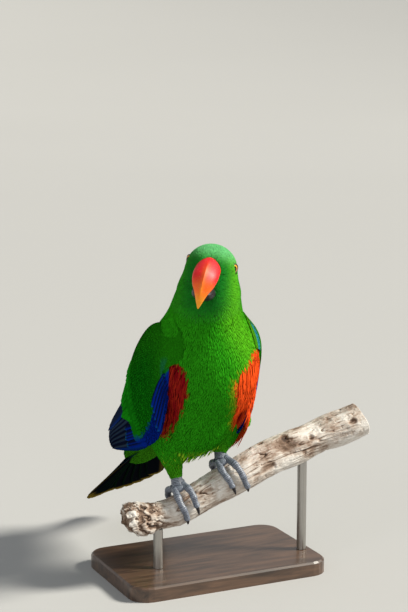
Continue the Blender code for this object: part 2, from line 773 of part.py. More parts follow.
# Each toe: its name, the side of the foot that it leaves, the way that it runs, its reach round the branch
# in degrees and the shift of its tip along the branch
TOES = (
    ("outer_front", 1.0, 1, 110.0, 4.0),
    ("inner_front", -1.0, 1, 88.0, -1.0),
    ("outer_back", 1.0, -1, 88.0, 5.0),
    ("inner_back", -1.0, -1, 66.0, -2.0),
)


def toe_path(foot_at, side, toe, count=10):
    """Points of a toe that follows the branch round its section, in the branch's own frame."""
    _, out, way, reach, drift = toe
    u = np.linspace(0.0, 1.0, count)
    angle = np.radians(4.0 + (reach - 4.0) * u) * way
    s = foot_at + side * (out * (3.4 + 1.6 * np.sin(np.pi * np.minimum(u * 1.2, 1))) + drift * u)
    radius = toe_radius(u)
    _, thick = perch_frame(s)
    rise = thick + radius + GAP + 1.2 * np.sin(np.pi * u) ** 2 + 1.4 * (1 - u) ** 3
    lean = -rise * np.sin(angle)
    up = rise * np.cos(angle) - PERCH_DEPTH
    return np.stack([s, lean, up], axis=-1), radius


def toe_radius(u):
    """A toe thins toward its claw and swells at its joints."""
    return TOE_RADIUS * (1.0 - 0.22 * u) * (1.0 + 0.07 * np.cos(2 * np.pi * 3.0 * u))


def claw_path(toe_points, toe_radii, count=5):
    """A claw that carries the toe on and curls in toward the branch."""
    end = toe_points[-1]
    along = unit(toe_points[-1] - toe_points[-2])
    inward = unit(np.array([0.0, -end[1], -(end[2] + PERCH_DEPTH)]))
    u = np.linspace(0.0, 1.0, count)
    bend = np.radians(CLAW_BEND)
    turned = np.sin(bend * u)[:, None] * along + (1 - np.cos(bend * u))[:, None] * inward
    path = end + along * GAP + turned * CLAW_LENGTH / bend * 0.98
    radii = toe_radii[-1] * 0.72 * (1 - u) ** 0.8 + CLAW_TIP
    gap = np.hypot(path[:, 1], path[:, 2] + PERCH_DEPTH)
    need = perch_frame(path[:, 0])[1] + radii + GAP
    push = np.maximum(need - gap, 0.0)[:, None]
    outward = np.stack([np.zeros(count), path[:, 1], path[:, 2] + PERCH_DEPTH], axis=-1)
    return path + unit(outward) * push, radii


def make_foot(label, side, body):
    """The sole, shank and four toes of one foot as one solid, with a claw for each toe."""
    at = side * FOOT_SPACING / 2
    top = perch_frame(at)[1][0] - PERCH_DEPTH + GAP
    verts, faces = ball((at, 0.0, top + SOLE_RISE), SOLE_HALF, rings=8, sides=14)
    foot = new_object("foot_" + label, on_perch(verts), faces, "foot_grey")
    parts = []
    for toe in TOES:
        points, radii = toe_path(at, side, toe)
        outward = np.array([1.0, 0.0, 0.0])
        verts, faces = loft(tube(points, radii, 8, TOE_FLATTEN, outward))
        parts.append(new_object("toe", on_perch(verts), faces, "foot_grey"))
        points, radii = claw_path(points, radii)
        verts, faces = loft(tube(points, radii, 6, 1.0, outward))
        new_object("claw_" + label + "_" + toe[0], on_perch(verts), faces, "claw")
    parts.append(make_shank("shank", side, 0.0))
    boolean(foot, "UNION", parts)
    return cut_clear(foot, body)


def make_shank(name, side, grow):
    """The short scaled leg above the foot, from the sole to the ankle."""
    at = side * FOOT_SPACING / 2
    sole = on_perch([(at, 0.0, perch_frame(at)[1][0] - PERCH_DEPTH + SHANK_SINK)])[0]
    ankle = ankle_place(side) + FEET
    over = unit(ankle - sole) * grow
    path = ankle + over + np.linspace(0.0, 1.0, 5)[:, None] * (sole - ankle - over)
    verts, faces = loft(tube(path, np.linspace(*SHANK_RADII, 5) + grow, 12, 1.0, (1.0, 0.0, 0.0)))
    return new_object(name, verts, faces, "foot_grey")


def ankle_place(side):
    """The top of the shank, measured from the middle of the feet."""
    foot = np.array([side * FOOT_SPACING / 2, 0.0, 0.0]) @ PERCH_TURN.T
    return foot + np.array(ANKLE)


def make_thigh(name, side, body):
    """The feathered thigh, from inside the belly down to the ankle, which it covers."""
    top = THIGH_TOP * np.array([-side, 1.0, 1.0])
    ankle = ankle_place(side)
    end = ankle - unit(ankle - top) * 2.0
    u = np.linspace(0.0, 1.0, 9)
    path = top + u[:, None] * (end - top) + FEET
    radii = THIGH_RADII[1] + (THIGH_RADII[0] - THIGH_RADII[1]) * (1 - u) ** THIGH_TAPER
    verts, faces = loft(tube(path, radii, 16, 1.0, (1.0, 0.0, 0.0)))
    thigh = new_object(name, verts, faces, "plumage")
    boolean(thigh, "DIFFERENCE", [make_shank("cutter", side, GAP)])
    return cut_clear(thigh, body)


# The stand

def make_base():
    """A flat plate with round corners and a softened upper edge."""
    width, depth, height = BASE_SIZE
    corner = np.linspace(0, np.pi / 2, 6)
    rings = []
    for inset, z in ((0.0, 0.0), (0.0, height - BASE_BEVEL), (BASE_BEVEL, height)):
        ring = []
        for k, (sx, sy) in enumerate(((1, 1), (-1, 1), (-1, -1), (1, -1))):
            angle = corner + k * np.pi / 2
            radius = BASE_CORNER - inset
            ring += [(sx * (width / 2 - BASE_CORNER) + radius * math.cos(q),
                      sy * (depth / 2 - BASE_CORNER) + radius * math.sin(q), z) for q in angle]
        rings.append(ring)
    verts, faces = loft(np.array(rings))
    return new_object("stand_base", verts, faces, "stand_wood", smooth=False)


def make_rod(name, at):
    """A rod from the base up to the underside of the branch, which it meets across the gap."""
    middle = perch_frame(at)[0][0]
    angle = np.linspace(0, 2 * np.pi, 20, endpoint=False)
    circle = np.stack([ROD_RADIUS * np.cos(angle), ROD_RADIUS * np.sin(angle), 0 * angle], axis=-1)
    low = BASE_SIZE[2] + GAP
    rings = np.array([circle + (middle[0], middle[1], z) for z in (low, middle[2])])
    verts, faces = loft(rings)
    rod = new_object(name, verts, faces, "stand_metal")
    boolean(rod, "DIFFERENCE", [make_perch("cutter", GAP)])
    return rod


def main():
    for obj in list(bpy.data.objects):
        bpy.data.objects.remove(obj)
    rump, crown = spine_ends()
    torso = body_piece("torso", rump, NECK_FROM, 19, True, False)
    neck = body_piece("neck", NECK_FROM + 0.0018, HEAD_FROM, 8, False, False)
    body = (torso, neck)
    make_head(crown)
    make_tail(body)
    for label, side in (("left", 1), ("right", -1)):
        thigh = make_thigh("thigh_" + label, side, body)
        make_wing("wing_" + label, side, (*body, thigh))
        make_foot(label, side, body)
    make_perch("perch")
    make_base()
    for k, at in enumerate(ROD_AT):
        make_rod(f"stand_rod_{k + 1}", at)


main()
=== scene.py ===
"""The looks of the eclectus parrot on its branch: plumage, bill, eyes, feet, driftwood and stand.

Lengths are millimetres measured from the middle of the feet unless a comment says otherwise, and MM turns
them into metres. +Z is up, +X the bird's left and -Y the way that its breast faces.
"""

import math

import bmesh
import bpy
import numpy as np
from mathutils import Matrix, Vector
from mathutils.bvhtree import BVHTree
from mathutils.kdtree import KDTree


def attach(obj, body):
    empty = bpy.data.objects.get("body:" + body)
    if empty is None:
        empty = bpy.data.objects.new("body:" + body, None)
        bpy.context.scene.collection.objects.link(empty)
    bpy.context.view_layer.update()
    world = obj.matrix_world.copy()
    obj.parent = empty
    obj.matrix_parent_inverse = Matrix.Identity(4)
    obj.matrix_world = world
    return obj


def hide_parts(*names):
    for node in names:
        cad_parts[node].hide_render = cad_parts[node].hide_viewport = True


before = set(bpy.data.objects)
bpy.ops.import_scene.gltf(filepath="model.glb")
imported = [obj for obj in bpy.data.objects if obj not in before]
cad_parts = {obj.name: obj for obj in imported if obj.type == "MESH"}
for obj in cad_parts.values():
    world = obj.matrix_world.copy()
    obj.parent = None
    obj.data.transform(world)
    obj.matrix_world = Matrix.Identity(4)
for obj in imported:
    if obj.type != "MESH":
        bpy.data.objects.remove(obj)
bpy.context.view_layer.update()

MM = 0.001

# How far apart a form is read for its slope, the size of a vane on the map and the map's free margin
SLOPE_STEP = 0.4
VANE_PATCH = 0.0028
MAP_MARGIN = 0.02

# The photograph's camera: its height and direction, its distance from the feet, and the feet's pixel
VIEW_AZIMUTH = -25.0
VIEW_ELEVATION = 10.0
VIEW_DISTANCE = 1.300
IMAGE_WIDTH = 408
IMAGE_HEIGHT = 612
FEET_PIXEL = (200.0, 474.0)
FOCAL_PIXELS = 1582.0
SENSOR = 36.0

# The studio, in metres: a floor that is flat to its bend, the sun, the sky and the point that the lamps face
FLOOR_FLAT = 6.0
FLOOR_BEND = 5.0
FLOOR_SIDES = 96
BEND_STEPS = 12
SUN_POWER = 6.6
SUN_WIDTH = 14.0
SUN_COLOUR = (1.0, 0.96, 0.86)
SKY_COLOUR = (0.94, 0.97, 1.0, 1.0)
SKY_POWER = 0.40
LAMP_AIM = (0.0, 0.0, 0.18)

# The body's forms, as in the solids
FEET = np.array([-14.0, -16.0, 88.0])
PERCH_YAW = -4.0
PERCH_RISE = 23.8
FOOT_SPACING = 42.0
BODY_TILT = 37.0
HEAD_YAW = -33.0
HEAD_ROLL = 10.5
BODY_X = -2.5
TORSO_CENTRE = np.array([BODY_X, 16.0, 75.5])
TORSO_HALF = np.array([45.0, 82.0, 49.0])
CHEST_CENTRE = np.array([BODY_X, -15.0, 95.0])
CHEST_HALF = np.array([42.5, 43.0, 44.0])
BELLY_CENTRE = np.array([-7.0, 12.0, 53.5])
BELLY_HALF = np.array([37.0, 44.0, 40.0])
RUMP_START = np.array([BODY_X, 52.0, 46.0])
RUMP_END = np.array([BODY_X, 101.0, 15.0])
RUMP_RADII = (30.0, 15.0)
NECK_START = np.array([-5.4, -16.1, 112.0])
NECK_END = np.array([-9.0, -35.5, 155.7])
NECK_RADII = (36.4, 25.5)
HEAD_ORIGIN = np.array([-10.6, -44.5, 181.0])
SKULL_CENTRE = np.array([0.0, 3.5, -4.4])
SKULL_HALF = np.array([20.3, 24.5, 19.6])
CHEEK_CENTRE = np.array([0.3, -1.0, -15.2])
CHEEK_HALF = np.array([17.3, 17.5, 15.0])
BLEND = 13.0
CHEEK_BLEND = 5.5
HEAD_BLEND = 6.9
SPINE = np.array([
    [BODY_X, 122.0, -5.0],
    [BODY_X, 84.0, 23.0],
    [BODY_X, 44.0, 50.0],
    [BODY_X, 8.0, 77.0],
    [-3.0, -16.0, 103.0],
    [-4.0, -29.0, 130.0],
    [-7.5, -37.0, 152.0],
    [-9.5, -41.0, 172.0],
    [-8.0, -42.0, 206.0],
])
THIGH_TOP = np.array([-29.0, 6.0, 42.0])
THIGH_RADII = (18.6, 5.6)
THIGH_TAPER = 1.1
THIGH_BLEND = 5.0
ANKLE = (0.0, 4.0, 7.5)
SKIN_DEPTH = 1.5
SKIN_VOXEL = 1.4

# The eyes and the bill, in the head's frame
EYE_SIDE = 15.1
EYE_AHEAD = 0.5
EYE_RADIUS = 5.2
EYE_FORWARD = 27.0
IRIS_FORWARD = 22.0
LID_OUT = 3.4
LID_RADIUS = 4.3
LID_THICK = 0.5
LID_FLATTEN = 0.9

# The upper bill's ridge and its inner side, from the face to the tip as (forward, up), and its half width.
# A profile is a circle's at 1, more pointed above 1 and blunter below it
BILL_RIDGE = np.array([[-9.0, 8.6], [-21.5, 6.4], [-32.0, 1.2], [-39.0, -6.8],
                       [-41.6, -15.2], [-40.8, -22.8], [-38.2, -29.0]])
BILL_INNER = np.array([[-7.0, -9.6], [-16.5, -10.8], [-24.0, -12.8], [-28.8, -15.8],
                       [-32.4, -19.6], [-35.4, -24.4], [-37.8, -29.0]])
BILL_WIDTH = np.array([[9.0], [9.8], [9.9], [8.3], [5.1], [2.6], [0.5]])
BASE_SHARP = 1.25
RIDGE_SHARP = 2.1
EDGE_SHARP = 0.85

# The openings that the plumage leaves for the bill, as the middle and the half size of an ellipsoid
BILL_OPENINGS = (((0.0, -20.0, -2.0), (8.6, 14.0, 9.2)), ((0.0, -16.0, -18.6), (8.4, 9.0, 6.2)))

# The lower bill's sections: place forward and up, half width and half height
LOWER_BILL = np.array([[-5.0, -17.4, 8.0, 5.8], [-13.0, -18.8, 9.0, 6.8], [-20.5, -19.8, 9.0, 6.2],
                       [-26.5, -20.2, 8.0, 4.8], [-30.6, -19.8, 5.6, 2.6]])

# The wing's edges and its bulge, on the bird's right, from the front to the tip
WING_LOW = np.array([[-39.0, -33.0, 84.0], [-43.0, -22.0, 46.0], [-44.0, 14.0, 26.0],
                     [-39.0, 66.0, 10.0], [-28.0, 118.0, -6.0], [-15.0, 160.0, -18.0]])
WING_MIDDLE = np.array([[-41.0, -36.0, 108.0], [-49.0, -8.0, 96.0], [-48.0, 30.0, 74.0],
                        [-37.5, 76.0, 44.0], [-31.0, 120.0, 15.0], [-13.0, 158.0, -14.0]])
WING_HIGH = np.array([[-29.0, -22.0, 134.5], [-35.0, 10.0, 126.0], [-27.0, 48.0, 102.0],
                      [-15.0, 90.0, 63.0], [-9.0, 126.0, 29.0], [-9.0, 156.0, -7.0]])

# The left wing is held closer at its lower edge, and closer still where the flank's feathers cover it. Its
# shoulder swells outward and forward at a height and over a breadth of the wing
LEFT_TUCK = 0.08
FLANK_COVER = 0.17
LEFT_SWELL = np.array([3.0, -1.6])
SWELL_HEIGHT = 0.80
SWELL_BREADTH = 0.30
WING_THICK = 9.0
SHELL_END = 0.46

# The tail
TAIL_ROOT = np.array([BODY_X, 88.0, 20.0])
TAIL_ROOT_HALF = np.array([19.0, 40.0, 11.5])
TAIL_DROP = 40.0
TAIL_LENGTH = 124.0
TAIL_OUTER_LENGTH = 96.0
TAIL_SPREAD = 24.0
TAIL_YAW = 6.0
TAIL_ROLL = 8.0
TAIL_PAIRS = 6
RECTRIX_WIDTH = 19.0

# The feet and the branch
TOE_RADIUS = 3.1
SCALE_RISE = 0.22
CLAW_LENGTH = 12.0
GAP = 0.35

# The branch's sections, in its own frame: place along it, drift sideways and up, and radius
PERCH_PATH = np.array([
    [-71.0, 0.0, 12.5, 14.5], [-62.0, 0.0, 10.0, 15.5], [-49.0, 0.0, 5.5, 12.5], [-34.0, 0.0, 0.0, 12.5],
    [0.0, 0.0, 0.0, 13.5], [30.0, 0.0, 0.0, 15.0], [58.0, 1.0, 0.0, 15.0], [84.0, 2.0, -3.0, 15.5],
    [106.0, 2.0, -6.0, 14.5], [128.0, 0.0, -9.0, 15.0], [146.0, -2.0, -9.0, 14.5],
])
PERCH_DEPTH = 17.6

# Each toe: its name, its side of the foot, 1 where it points forward, its reach round the branch in degrees
# and its drift along it
TOES = (
    ("outer_front", 1.0, 1, 110.0, 4.0),
    ("inner_front", -1.0, 1, 88.0, -1.0),
    ("outer_back", 1.0, -1, 88.0, 5.0),
    ("inner_back", -1.0, -1, 66.0, -2.0),
)

# Colours, linear
GREEN = np.array([0.020, 0.240, 0.006])
# The next green is painted sunlight: the plumage's green where the sun lights the bird's left side.
PAINTED_SUN_GREEN = np.array([0.100, 0.400, 0.012])
# The crown's green is its own slight mint tint, made pale with a painted highlight of the sun on top of the
# head.
CROWN_GREEN_AND_HIGHLIGHT = np.array([0.110, 0.420, 0.150])
# The face's green is darkened with painted shade, as the face lies in shadow.
FACE_GREEN_IN_SHADE = np.array([0.006, 0.160, 0.014])
VENT_LIME = np.array([0.330, 0.560, 0.025])
# The flanks' red is darkened with painted shade, and it also serves the wings' red undersides. The orange is
# partly the red's own fringe and mostly painted sunlight on the bird's left side.
SHADED_FLANK_RED = np.array([0.170, 0.002, 0.007])
FLANK_ORANGE_AND_SUN = np.array([0.800, 0.085, 0.012])
FLANK_YELLOW = np.array([0.420, 0.330, 0.010])
COVERT_GREEN = np.array([0.006, 0.165, 0.005])
WING_BLUE = np.array([0.002, 0.018, 0.220])
WING_TEAL = np.array([0.010, 0.200, 0.330])
# The next teal is the wing's teal lightened as painted sunlight, for the lit front edge of the left wing.
SUNLIT_TEAL = np.array([0.030, 0.420, 0.560])
FLIGHT_DARK = np.array([0.004, 0.006, 0.018])
FLIGHT_SLATE = np.array([0.010, 0.018, 0.042])
FLIGHT_BLUE = np.array([0.003, 0.024, 0.170])
FLIGHT_EDGE = np.array([0.060, 0.110, 0.160])
TAIL_DARK = np.array([0.003, 0.004, 0.006])
TAIL_TIP = np.array([0.300, 0.210, 0.025])
BILL_RED = np.array([0.80, 0.006, 0.014])
BILL_ORANGE = np.array([0.90, 0.130, 0.004])
BILL_YELLOW = np.array([0.95, 0.36, 0.006])
BILL_BLACK = (0.016, 0.015, 0.018, 1.0)
CLAW_BLACK = (0.020, 0.020, 0.024, 1.0)
# The bill's pale flakes are partly its own flaking horn and partly a painted highlight.
PALE_FLAKES_AND_HIGHLIGHT = (0.95, 0.72, 0.55, 1.0)
DARK_FLAKES = (0.10, 0.10, 0.11, 1.0)

# The red flanks: how far round from the back they reach on each side, at spine stations from the thighs up
FLANK_AT = (0.335, 0.375, 0.42, 0.465, 0.50, 0.52, 0.54, 0.56, 0.58)
FLANK_RIGHT = (142.0, 143.0, 143.0, 141.0, 144.0, 146.0, 142.0, 131.0, 112.0)
FLANK_LEFT = (136.0, 146.0, 156.0, 163.0, 166.0, 166.0, 163.0, 151.0, 128.0)

# The small feathers: how many places are drawn for them, their spacing at spine stations from the rump up, the
# share of it that they keep from each other, and how near a wing or the tail hides them
COAT_DRAWN = 330000
CROWN_DRAWN = 4000
THIGH_DRAWN = 9000
TAIL_COVERTS_DRAWN = 14000
SPACING_AT = (0.0, 0.3, 0.5, 0.62, 0.74, 0.82, 1.0)
SPACING = (2.6, 2.0, 1.65, 1.45, 1.2, 0.95, 0.95)
OVERLAP = 0.86
COVER_REACH = 26.0
FLANK_TUFTS = 260
EDGE_TUFTS = 330
VENT_TUFTS = 150


def turn(axis, degrees):
    """The rotation matrix about one of the axes x, y and z."""
    c = math.cos(math.radians(degrees))
    s = math.sin(math.radians(degrees))
    if axis == "x":
        return np.array([[1, 0, 0], [0, c, -s], [0, s, c]])
    if axis == "y":
        return np.array([[c, 0, s], [0, 1, 0], [-s, 0, c]])
    return np.array([[c, -s, 0], [s, c, 0], [0, 0, 1]])


HEAD_TURN = turn("z", HEAD_YAW) @ turn("y", HEAD_ROLL)
BODY_TURN = turn("x", -BODY_TILT)
PERCH_TURN = turn("z", PERCH_YAW) @ turn("y", -PERCH_RISE)
TAIL_TURN = turn("z", TAIL_YAW) @ turn("x", -TAIL_DROP) @ turn("y", -TAIL_ROLL)


def unit(v):
    return v / np.maximum(np.linalg.norm(v, axis=-1, keepdims=True), 1e-9)


def step(value, low, high):
    """A smooth step from 0 at low to 1 at high."""
    x = np.clip((value - low) / (high - low), 0.0, 1.0)
    return x * x * (3 - 2 * x)


def laid(v, normal, share=1.0):
    """Directions pressed flat against a surface, or a share of the way to it."""
    return unit(v - share * (v * normal).sum(1)[:, None] * normal)


def ring_angles(count):
    return np.linspace(0, 2 * np.pi, count, endpoint=False)


def mix(a, b, share):
    share = np.asarray(share)[..., None]
    return a * (1 - share) + b * share


def smooth_curve(points, t):
    """A Catmull-Rom curve through rows of numbers, read at t from 0 to 1."""
    points = np.asarray(points, float)
    t = np.atleast_1d(np.clip(t, 0.0, 1.0)) * (len(points) - 1)
    i = np.minimum(t.astype(int), len(points) - 2)
    f = (t - i)[..., None]
    a = points[np.maximum(i - 1, 0)]
    b = points[i]
    c = points[i + 1]
    d = points[np.minimum(i + 2, len(points) - 1)]
    first = np.where((i == 0)[..., None], 2 * b - c, a)
    last = np.where((i == len(points) - 2)[..., None], 2 * c - b, d)
    return 0.5 * (2 * b + (c - first) * f + (2 * first - 5 * b + 4 * c - last) * f**2
                  + (3 * b - first - 3 * c + last) * f**3)


# The body as a blend of simple forms

def ellipsoid(p, half):
    near = np.linalg.norm(p / half, axis=-1)
    slope = np.linalg.norm(p / half**2, axis=-1)
    return near * (near - 1.0) / np.maximum(slope, 1e-6)


def round_cone(p, start, end, radii):
    along = end - start
    h = np.clip((p - start) @ along / (along @ along), 0.0, 1.0)
    return np.linalg.norm(p - start - h[..., None] * along, axis=-1) - (radii[0] + h * (radii[1] - radii[0]))


def blended(a, b, reach):
    h = np.maximum(reach - np.abs(a - b), 0.0) / reach
    return np.minimum(a, b) - h * h * reach / 4.0


def in_head(p):
    return (p - HEAD_ORIGIN) @ HEAD_TURN


def on_head(points):
    return np.asarray(points) @ HEAD_TURN.T + HEAD_ORIGIN


def body_distance(p):
    """About how far p lies outside the plumage of the body, neck and head."""
    d = ellipsoid((p - TORSO_CENTRE) @ BODY_TURN, TORSO_HALF)
    d = blended(d, ellipsoid((p - CHEST_CENTRE) @ BODY_TURN, CHEST_HALF), BLEND)
    d = blended(d, ellipsoid((p - BELLY_CENTRE) @ BODY_TURN, BELLY_HALF), BLEND)
    d = blended(d, round_cone(p, RUMP_START, RUMP_END, RUMP_RADII), BLEND)
    d = blended(d, round_cone(p, NECK_START, NECK_END, NECK_RADII), BLEND)
    q = in_head(p)
    skull = ellipsoid(q - SKULL_CENTRE, SKULL_HALF)
    cheeks = ellipsoid(q - CHEEK_CENTRE, CHEEK_HALF)
    return blended(d, blended(skull, cheeks, CHEEK_BLEND), HEAD_BLEND)


def ankle_place(side):
    """The top of the shank, measured from the middle of the feet."""
    foot = np.array([side * FOOT_SPACING / 2, 0.0, 0.0]) @ PERCH_TURN.T
    return foot + np.array(ANKLE)


def thigh_ends(side):
    top = THIGH_TOP * np.array([-side, 1.0, 1.0])
    ankle = ankle_place(side)
    return top, ankle - unit(ankle - top) * 2.0


def thigh_radius(h):
    """The thigh's radius from its top, where h is 0, to the ankle."""
    return THIGH_RADII[1] + (THIGH_RADII[0] - THIGH_RADII[1]) * (1 - h) ** THIGH_TAPER


def thigh_distance(p, side):
    top, end = thigh_ends(side)
    along = end - top
    h = np.clip((p - top) @ along / (along @ along), 0.0, 1.0)
    return np.linalg.norm(p - top - h[..., None] * along, axis=-1) - thigh_radius(h)


def coat_distance(p):
    """About how far p lies outside the plumage, the thighs with it."""
    d = body_distance(p)
    for side in (1, -1):
        d = blended(d, thigh_distance(p, side), THIGH_BLEND)
    return d


def slope_of(distance, p):
    """The outward normal of a form at p."""
    normal = np.zeros(p.shape)
    for k in range(3):
        shift = np.zeros(3)
        shift[k] = SLOPE_STEP
        normal[..., k] = distance(p + shift) - distance(p - shift)
    return unit(normal)


def settle(distance, p, level, rounds):
    """Moves points along the form's slope until they lie at a level outside it."""
    for _ in range(rounds):
        p = p - slope_of(distance, p) * (distance(p) - level)[..., None]
    return p


def spine_frame(t):
    t = np.atleast_1d(t)
    centre = smooth_curve(SPINE, t)
    along = unit(smooth_curve(SPINE, t + 0.004) - smooth_curve(SPINE, t - 0.004))
    share = step(t, 0.452, 0.752)[:, None]
    left = (1 - share) * np.array([1.0, 0.0, 0.0]) + share * HEAD_TURN[:, 0]
    left = laid(left, along)
    return centre, along, left, np.cross(along, left)


def body_rings(t, angles, level=0.0):
    """The body's surface at spine stations and angles round them, 0 at the back and 90 at the bird's left."""
    centre, _, left, back = spine_frame(t)
    rays = (np.cos(angles)[None, :, None] * back[:, None, :]
            + np.sin(angles)[None, :, None] * left[:, None, :])
    reach = np.linspace(0.0, 80.0, 41)
    p = centre[:, None, None, :] + reach[None, None, :, None] * rays[:, :, None, :]
    first = np.argmax(body_distance(p) > level, axis=2)
    high = reach[first]
    low = np.maximum(high - 2.0, 0.0)
    for _ in range(12):
        middle = (low + high) / 2
        out = body_distance(centre[:, None, :] + middle[..., None] * rays) > level
        high = np.where(out, middle, high)
        low = np.where(out, low, middle)
    return centre[:, None, :] + ((low + high) / 2)[..., None] * rays


def spine_ends(level=0.0):
    t = np.linspace(0.0, 1.0, 2001)
    inside = np.nonzero(body_distance(smooth_curve(SPINE, t)) < level)[0]
    return t[inside[0]], t[inside[-1]]


def point_tree(points):
    tree = KDTree(len(points))
    for i, point in enumerate(points):
        tree.insert(point, i)
    tree.balance()
    return tree


def spine_place(p):
    """The spine station that p lies nearest to, and the angle round it."""
    t = np.linspace(0.0, 1.0, 260)
    centre, along, left, back = spine_frame(t)
    tree = point_tree(centre)
    near = np.array([tree.find(q)[1] for q in p])
    from_spine = p - centre[near]
    angle = np.degrees(np.arctan2((from_spine * left[near]).sum(1), (from_spine * back[near]).sum(1)))
    return t[near], angle, along[near]


# Meshes

def add_object(name, data):
    obj = bpy.data.objects.new(name, data)
    bpy.context.scene.collection.objects.link(obj)
    return obj


def quad_mesh(name, points, quads):
    """A mesh from arrays of points in millimetres and of four-sided faces."""
    mesh = bpy.data.meshes.new(name)
    mesh.vertices.add(len(points))
    mesh.vertices.foreach_set("co", (points * MM).astype(np.float32).ravel())
    mesh.loops.add(quads.size)
    mesh.loops.foreach_set("vertex_index", quads.ravel().astype(np.int32))
    mesh.polygons.add(len(quads))
    mesh.polygons.foreach_set("loop_start", np.arange(0, quads.size, 4, dtype=np.int32))
    mesh.update(calc_edges=True)
    mesh.shade_smooth()
    return mesh


def poly_mesh(name, points, faces):
    mesh = bpy.data.meshes.new(name)
    mesh.from_pydata([tuple(v) for v in np.asarray(points) * MM], [], [tuple(f) for f in faces])
    work = bmesh.new()
    work.from_mesh(mesh)
    bmesh.ops.recalc_face_normals(work, faces=work.faces)
    work.to_mesh(mesh)
    work.free()
    mesh.shade_smooth()
    return mesh


def set_values(mesh, name, values):
    """Stores on the mesh's points their tint, a colour, or their vane, three numbers, for the material."""
    if name == "tint":
        values = np.concatenate([values, np.ones((len(values), 1))], axis=1)
        layer = mesh.attributes.new(name, "FLOAT_COLOR", "POINT")
        layer.data.foreach_set("color", values.astype(np.float32).ravel())
    else:
        layer = mesh.attributes.new(name, "FLOAT_VECTOR", "POINT")
        layer.data.foreach_set("vector", values.astype(np.float32).ravel())


def set_bake_map(mesh, places):
    """The map named OFBake, from a place for each point."""
    layer = mesh.uv_layers.new(name="OFBake")
    corner = np.zeros(len(mesh.loops), np.int32)
    mesh.loops.foreach_get("vertex_index", corner)
    layer.uv.foreach_set("vector", places[corner].astype(np.float32).ravel())


def loft(rings):
    """The points and faces of a skin over rings of equal size, with its ends closed."""
    count, sides, _ = rings.shape
    faces = []
    for i in range(count - 1):
        for j in range(sides):
            a = i * sides + j
            b = i * sides + (j + 1) % sides
            faces.append((a, b, b + sides, a + sides))
    for i, middle in ((0, count * sides), (count - 1, count * sides + 1)):
        for j in range(sides):
            pair = (i * sides + j, i * sides + (j + 1) % sides)
            faces.append((*(pair if i else pair[::-1]), middle))
    points = np.concatenate([rings.reshape(-1, 3), rings[0].mean(0)[None], rings[-1].mean(0)[None]])
    return points, faces


def tube(path, radii, sides, flatten=1.0):
    """Rings round a path across x. flatten squeezes them along x."""
    path = np.asarray(path, float)
    along = unit(np.gradient(path, axis=0))
    side = unit(np.cross(along, np.array([1.0, 0.0, 0.0])))
    over = np.cross(side, along)
    angle = ring_angles(sides)
    radii = np.asarray(radii, float)[:, None, None]
    return path[:, None, :] + radii * (np.cos(angle)[None, :, None] * side[:, None, :]
                                       + flatten * np.sin(angle)[None, :, None] * over[:, None, :])


def ball_grid(polar, sides):
    """Rings of points on a ball of radius 1, at angles from its top."""
    angle = ring_angles(sides)
    return np.stack([np.sin(polar)[:, None] * np.cos(angle)[None, :],
                     np.sin(polar)[:, None] * np.sin(angle)[None, :],
                     np.repeat(np.cos(polar)[:, None], sides, axis=1)], axis=-1)


def ball(centre, half, rings, sides, rotation=np.eye(3)):
    verts, faces = loft(ball_grid(np.linspace(0.0, np.pi, rings + 1)[1:-1], sides))
    verts[-2] = (0, 0, 1)
    verts[-1] = (0, 0, -1)
    return (verts * np.asarray(half)) @ rotation.T + np.asarray(centre), faces


def joined(shapes):
    """The points and faces of several shapes as one."""
    points = []
    faces = []
    start = 0
    for verts, polygons in shapes:
        points.append(verts)
        faces += [tuple(start + k for k in polygon) for polygon in polygons]
        start += len(verts)
    return np.concatenate(points), faces


def add_form(name, points, faces):
    return add_object(name, poly_mesh(name, points, faces))


def dress(obj, material, replaces=()):
    """Gives a piece its material, the body that it rides on and the nodes that it replaces."""
    obj.data.materials.clear()
    obj.data.materials.append(material)
    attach(obj, "root")
    if replaces:
        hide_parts(*replaces)
    return obj


# Feathers

def lens_faces(rows, columns):
    """Faces of a thin closed vane, whose two sides share the rim of a grid of points."""
    top = np.arange(rows * columns).reshape(rows, columns)
    under = top.copy()
    under[1:-1, 1:-1] = rows * columns + np.arange((rows - 2) * (columns - 2)).reshape(rows - 2, columns - 2)
    faces = []
    for i in range(rows - 1):
        for j in range(columns - 1):
            faces.append((top[i, j], top[i, j + 1], top[i + 1, j + 1], top[i + 1, j]))
            faces.append((under[i + 1, j], under[i + 1, j + 1], under[i, j + 1], under[i, j]))
    return np.array(faces)


